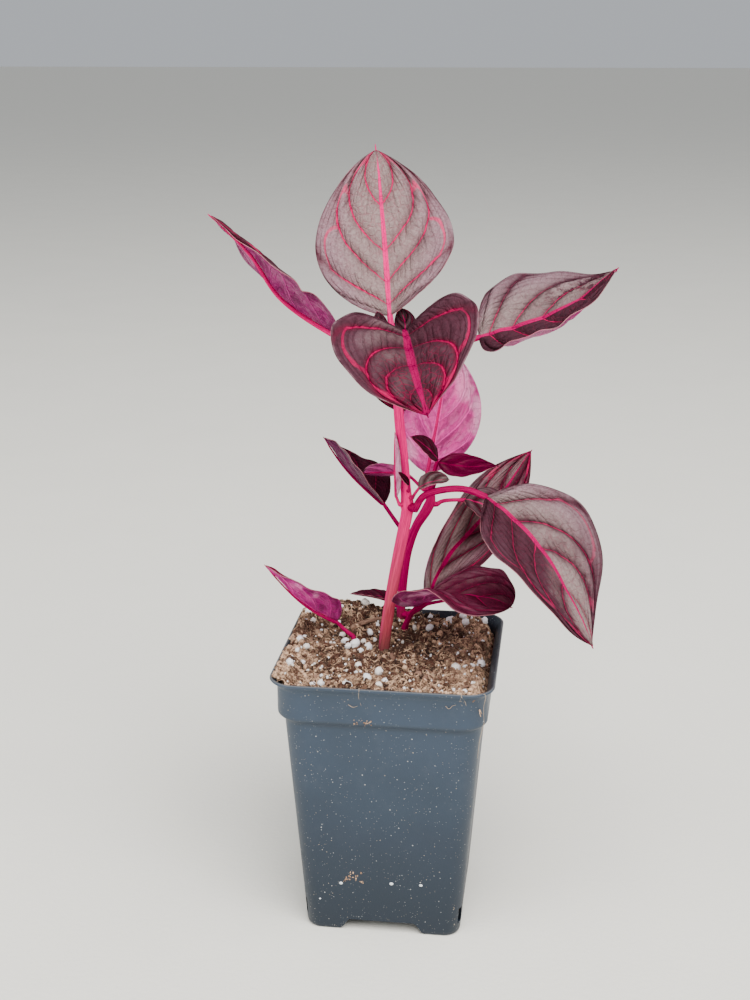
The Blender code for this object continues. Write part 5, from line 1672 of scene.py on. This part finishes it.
def add_pot_marks(stock, draw):
    """Dried drops and a smear of crumbs on the front, and a few crumbs on the band."""
    band = -POT_BAND_HALF - 0.02
    points, faces = ball(2)
    for x, z, size in DROPS:
        wall = -body_half(z) - 0.02
        stock.add(points * (size, size * 0.22, size * 0.8) + (x, wall, z), faces, 1)
    for _ in range(SMEAR_CRUMBS):
        x, z = draw.uniform(-16.0, -7.5), draw.uniform(23.5, 29.0)
        size = draw.uniform(0.2, 0.75)
        crumb = turned(points * (1.0, 0.6, 0.5), draw) * (size, 0.16, size)
        stock.add(crumb + (x, -body_half(z) - 0.05, z), faces, 0)
    for _ in range(BAND_CRUMBS):
        x, z = draw.uniform(-10.0, -3.0), draw.uniform(98.0, 100.5)
        size = draw.uniform(0.15, 0.45)
        crumb = turned(points, draw) * (size, 0.2, size) + (x, band, z)
        stock.add(crumb, faces, 0)


def add_rootlets(stock):
    """Fine pale rootlets that hang over the rim and stick to the band."""
    lip, band = -POT_LIP_HALF - 0.1, -POT_BAND_HALF - 0.22
    threads = (
        ((-7.6, lip + 1.2, 114.8), (-7.4, lip - 0.1, 114.2), (-7.9, band, 110.2), (-6.9, band, 106.8)),
        ((31.6, lip + 2.0, 114.9), (32.2, lip - 0.1, 114.3), (31.4, band, 110.6), (32.5, band, 109.0)),
        ((32.2, lip - 0.2, 114.0), (33.4, band - 0.2, 111.0), (33.9, band, 109.2)),
        ((26.0, band, 108.6), (27.3, band - 0.1, 107.6), (28.6, band, 108.8), (30.0, band, 109.3)),
        ((-12.0, band, 107.0), (-10.2, band, 106.0), (-8.4, band, 106.6)),
        (
            (40.6, lip + 1.5, 114.9), (41.4, lip + 0.9, 114.0),
            (40.6, band + 1.2, 108.0), (40.9, band + 1.4, 101.5),
        ),
        (
            (40.9, band + 1.4, 101.5), (40.2, band + 2.4, 98.4),
            (39.2, band + 2.2, 93.0), (38.6, band + 2.4, 86.0),
        ),
    )
    for thread in threads:
        path = through(thread, np.linspace(0.0, 1.0, 18))
        add_rod(stock, path, np.linspace(0.13, 0.06, 18), 5, 2)


def dried_finish():
    """White mark left by a dried drop."""
    finish = Finish("dried_drop", 0.35)
    place = finish.place()
    colour = finish.mix(finish.noise(place, 0.8), DROP_RING, DROP_WHITE)
    finish.relief(finish.noise(place, 2.0), 0.1)
    return finish.surface(colour)


def rootlet_finish():
    """Pale tan rootlet."""
    finish = Finish("rootlet", 0.7)
    place = finish.place()
    colour = finish.mix(finish.noise(place, 0.7), DARK_ROOTLET, PALE_ROOTLET)
    finish.relief(finish.noise(place, 3.0), 0.1)
    return finish.surface(colour)


def floor_finish():
    """Pale plaster, nearly even."""
    finish = Finish("pale_floor", 0.7)
    place = finish.place()
    pale = Vector(chosen("stage").floor)
    colour = finish.mix(finish.noise(place, 0.012, 5.0, 0.6), pale * 0.96, pale * 1.03)
    finish.relief(finish.noise(place, 0.4, 4.0), 0.2)
    return finish.surface(colour)


class BLOODLEAF_OT_pot(bpy.types.Operator):
    """Build the moulded pot with its marks and rootlets"""

    bl_idname = "bloodleaf.pot"
    bl_label = "Build Pot"

    def execute(self, context):
        stock = Stock()
        rings = pot_rings()
        add_rings(stock, rings)
        # How much painted shade each ring carries, rising down the inside.
        dark = (np.arange(len(rings)) - len(rings) + SHADED_INNER_RINGS + 2).clip(0, 2) / 2
        stock.place[-1] = np.repeat(np.column_stack([dark, dark * 0]), len(rings[0]), 0)
        pot = stock.piece("nursery_pot", [plastic_finish()], ["pot"])
        cut(pot, notch_tools() + drain_tools())
        if not pot.data.polygons:
            raise RuntimeError("the pot's cuts left nothing")
        pot.data.shade_smooth()
        pot.data.set_sharp_from_angle(angle=math.radians(POT_SHARP_ANGLE))
        marks = Stock()
        add_pot_marks(marks, np.random.default_rng(SEED + 7))
        add_rootlets(marks)
        finishes = [soil_finish("splashed_soil", 0.3, 0.5), dried_finish(), rootlet_finish()]
        marks.piece("pot_marks", finishes, ())
        return {"FINISHED"}


class BLOODLEAF_OT_mix(bpy.types.Operator):
    """Build the potting mix with its crumbs, fibres, perlite and chips"""

    bl_idname = "bloodleaf.mix"
    bl_label = "Build Potting Mix"

    def execute(self, context):
        user = context.scene.bloodleaf_mix
        draw = np.random.default_rng(SEED + 3)
        body = Stock()
        add_mix_body(body)
        body.piece("peat", [soil_finish("peat", 0.0)], ["potting_mix"])
        crumbs = Stock()
        add_crumbs(crumbs, user.crumbs, draw)
        add_fringe(crumbs, user.fringe, draw)
        crumbs.piece("crumbs", [soil_finish("crumb", 0.9)], ())
        fibres = Stock()
        add_fibres(fibres, user.fibres, draw)
        fibres.piece("fibres", [soil_finish("fibre", 1.0, 0.35)], ())
        grains = Stock()
        add_perlite(grains, draw, user.specks)
        grains.piece("perlite_grains", [perlite_finish()], ())
        chips = Stock()
        add_chips(chips, draw)
        chips.piece("twig_and_chips", [wood_finish()], ())
        return {"FINISHED"}


class BLOODLEAF_OT_stems(bpy.types.Operator):
    """Build the two ridged stems"""

    bl_idname = "bloodleaf.stems"
    bl_label = "Build Stems"

    def execute(self, context):
        ridge = context.scene.bloodleaf_stems.ridge
        for node, path in STEM_PATHS.items():
            curve = through(path, np.linspace(0.0, 1.0, (len(path) - 1) * STEM_FINE_STEPS + 1))
            stock = Stock()
            add_rod(stock, curve[:, :3], curve[:, 3], STEM_SIDES, 0, ridge)
            skin = stem_finish(f"{node}_skin", *STEM_AGES[node])
            stock.piece(f"fine_{node}", [skin], [node])
        return {"FINISHED"}


class BLOODLEAF_OT_leaves(bpy.types.Operator):
    """Build every leaf with its petiole"""

    bl_idname = "bloodleaf.leaves"
    bl_label = "Build Leaves"

    def execute(self, context):
        margin = margin_finish()
        draw = np.random.default_rng(SEED + 5)
        for number, (node, leaf) in enumerate(LEAVES.items()):
            shifts = draw.uniform(-0.035, 0.035, 2).tolist()
            stock = Stock()
            add_blade(stock, leaf, shifts, 100 + number * 5)
            add_stalk(stock, leaf)
            faces = [upper_finish(node, leaf, shifts), under_finish(node, leaf, shifts)]
            finishes = [*faces, margin, petiole_finish(node, leaf)]
            stock.piece(f"fine_{node}", finishes, [node])
        return {"FINISHED"}


class BLOODLEAF_OT_stage(bpy.types.Operator):
    """Set out the floor, the lights and the camera"""

    bl_idname = "bloodleaf.stage"
    bl_label = "Set Stage"

    def execute(self, context):
        user = context.scene.bloodleaf_stage
        add_floor()
        add_light("key_light", KEY_PLACE, KEY_SIZE, user.key)
        add_light("fill_light", FILL_PLACE, FILL_SIZE, user.fill)
        world = bpy.data.worlds.new("surroundings")
        world.use_nodes = True
        back = world.node_tree.nodes["Background"]
        back.inputs["Color"].default_value = (*user.sky, 1.0)
        back.inputs["Strength"].default_value = SKY_STRENGTH
        context.scene.world = world
        view = bpy.data.cameras.new("view")
        view.sensor_fit = "VERTICAL"
        view.sensor_height = SENSOR_MM
        view.lens = user.lens
        camera = bpy.data.objects.new("camera", view)
        camera.location = user.camera_place
        camera.rotation_euler = (math.pi / 2 - user.camera_pitch, 0.0, user.camera_turn)
        context.scene.collection.objects.link(camera)
        context.scene.camera = camera
        return {"FINISHED"}


def add_floor():
    """Large flat floor at the pot's feet."""
    mesh = bpy.data.meshes.new("floor")
    steps = np.linspace(-FLOOR_HALF, FLOOR_HALF, FLOOR_POINTS)
    x, y = np.meshgrid(steps, steps, indexing="xy")
    points = np.stack([x, y, np.zeros_like(x)], -1).reshape(-1, 3)
    mesh.from_pydata(points.tolist(), [], grid_faces(FLOOR_POINTS, FLOOR_POINTS).tolist())
    mesh.materials.append(floor_finish())
    floor = bpy.data.objects.new("floor", mesh)
    bpy.context.scene.collection.objects.link(floor)


def add_light(name, place, size, power):
    """Large soft light that faces the plant."""
    lamp = bpy.data.lights.new(name, "AREA")
    lamp.size = size
    lamp.energy = power
    light = bpy.data.objects.new(name, lamp)
    light.location = place
    aim = Vector(LIGHT_AIM) - Vector(place)
    light.rotation_euler = aim.to_track_quat("-Z", "Y").to_euler()
    bpy.context.scene.collection.objects.link(light)


class BLOODLEAF_PT_panel(bpy.types.Panel):
    """Lists the steps and the sizes and colours that they use"""

    bl_label = "Bloodleaf"
    bl_idname = "BLOODLEAF_PT_panel"
    bl_space_type = "VIEW_3D"
    bl_region_type = "UI"
    bl_category = "Bloodleaf"

    def draw(self, context):
        layout = self.layout
        for operator in OPERATORS:
            layout.operator(operator.bl_idname)
        for name, _ in GROUPS:
            box = layout.box()
            group = getattr(context.scene, name)
            for field in group.__annotations__:
                box.prop(group, field)


GROUPS = (
    ("bloodleaf_leaves", BloodleafLeafSettings),
    ("bloodleaf_stems", BloodleafStemSettings),
    ("bloodleaf_mix", BloodleafMixSettings),
    ("bloodleaf_pot", BloodleafPotSettings),
    ("bloodleaf_stage", BloodleafStageSettings),
)
OPERATORS = (
    BLOODLEAF_OT_pot,
    BLOODLEAF_OT_mix,
    BLOODLEAF_OT_stems,
    BLOODLEAF_OT_leaves,
    BLOODLEAF_OT_stage,
)


def register():
    """Make the settings, operators and panel known."""
    for name, group in GROUPS:
        bpy.utils.register_class(group)
        setattr(bpy.types.Scene, name, PointerProperty(type=group))
    for operator in OPERATORS:
        bpy.utils.register_class(operator)
    bpy.utils.register_class(BLOODLEAF_PT_panel)


def unregister():
    """Take the panel, operators and settings away."""
    bpy.utils.unregister_class(BLOODLEAF_PT_panel)
    for operator in reversed(OPERATORS):
        bpy.utils.unregister_class(operator)
    for name, group in reversed(GROUPS):
        delattr(bpy.types.Scene, name)
        bpy.utils.unregister_class(group)


def main():
    """Build everything over the solids."""
    register()
    bpy.ops.bloodleaf.pot()
    bpy.ops.bloodleaf.mix()
    bpy.ops.bloodleaf.stems()
    bpy.ops.bloodleaf.leaves()
    bpy.ops.bloodleaf.stage()


if __name__ == "__main__":
    main()
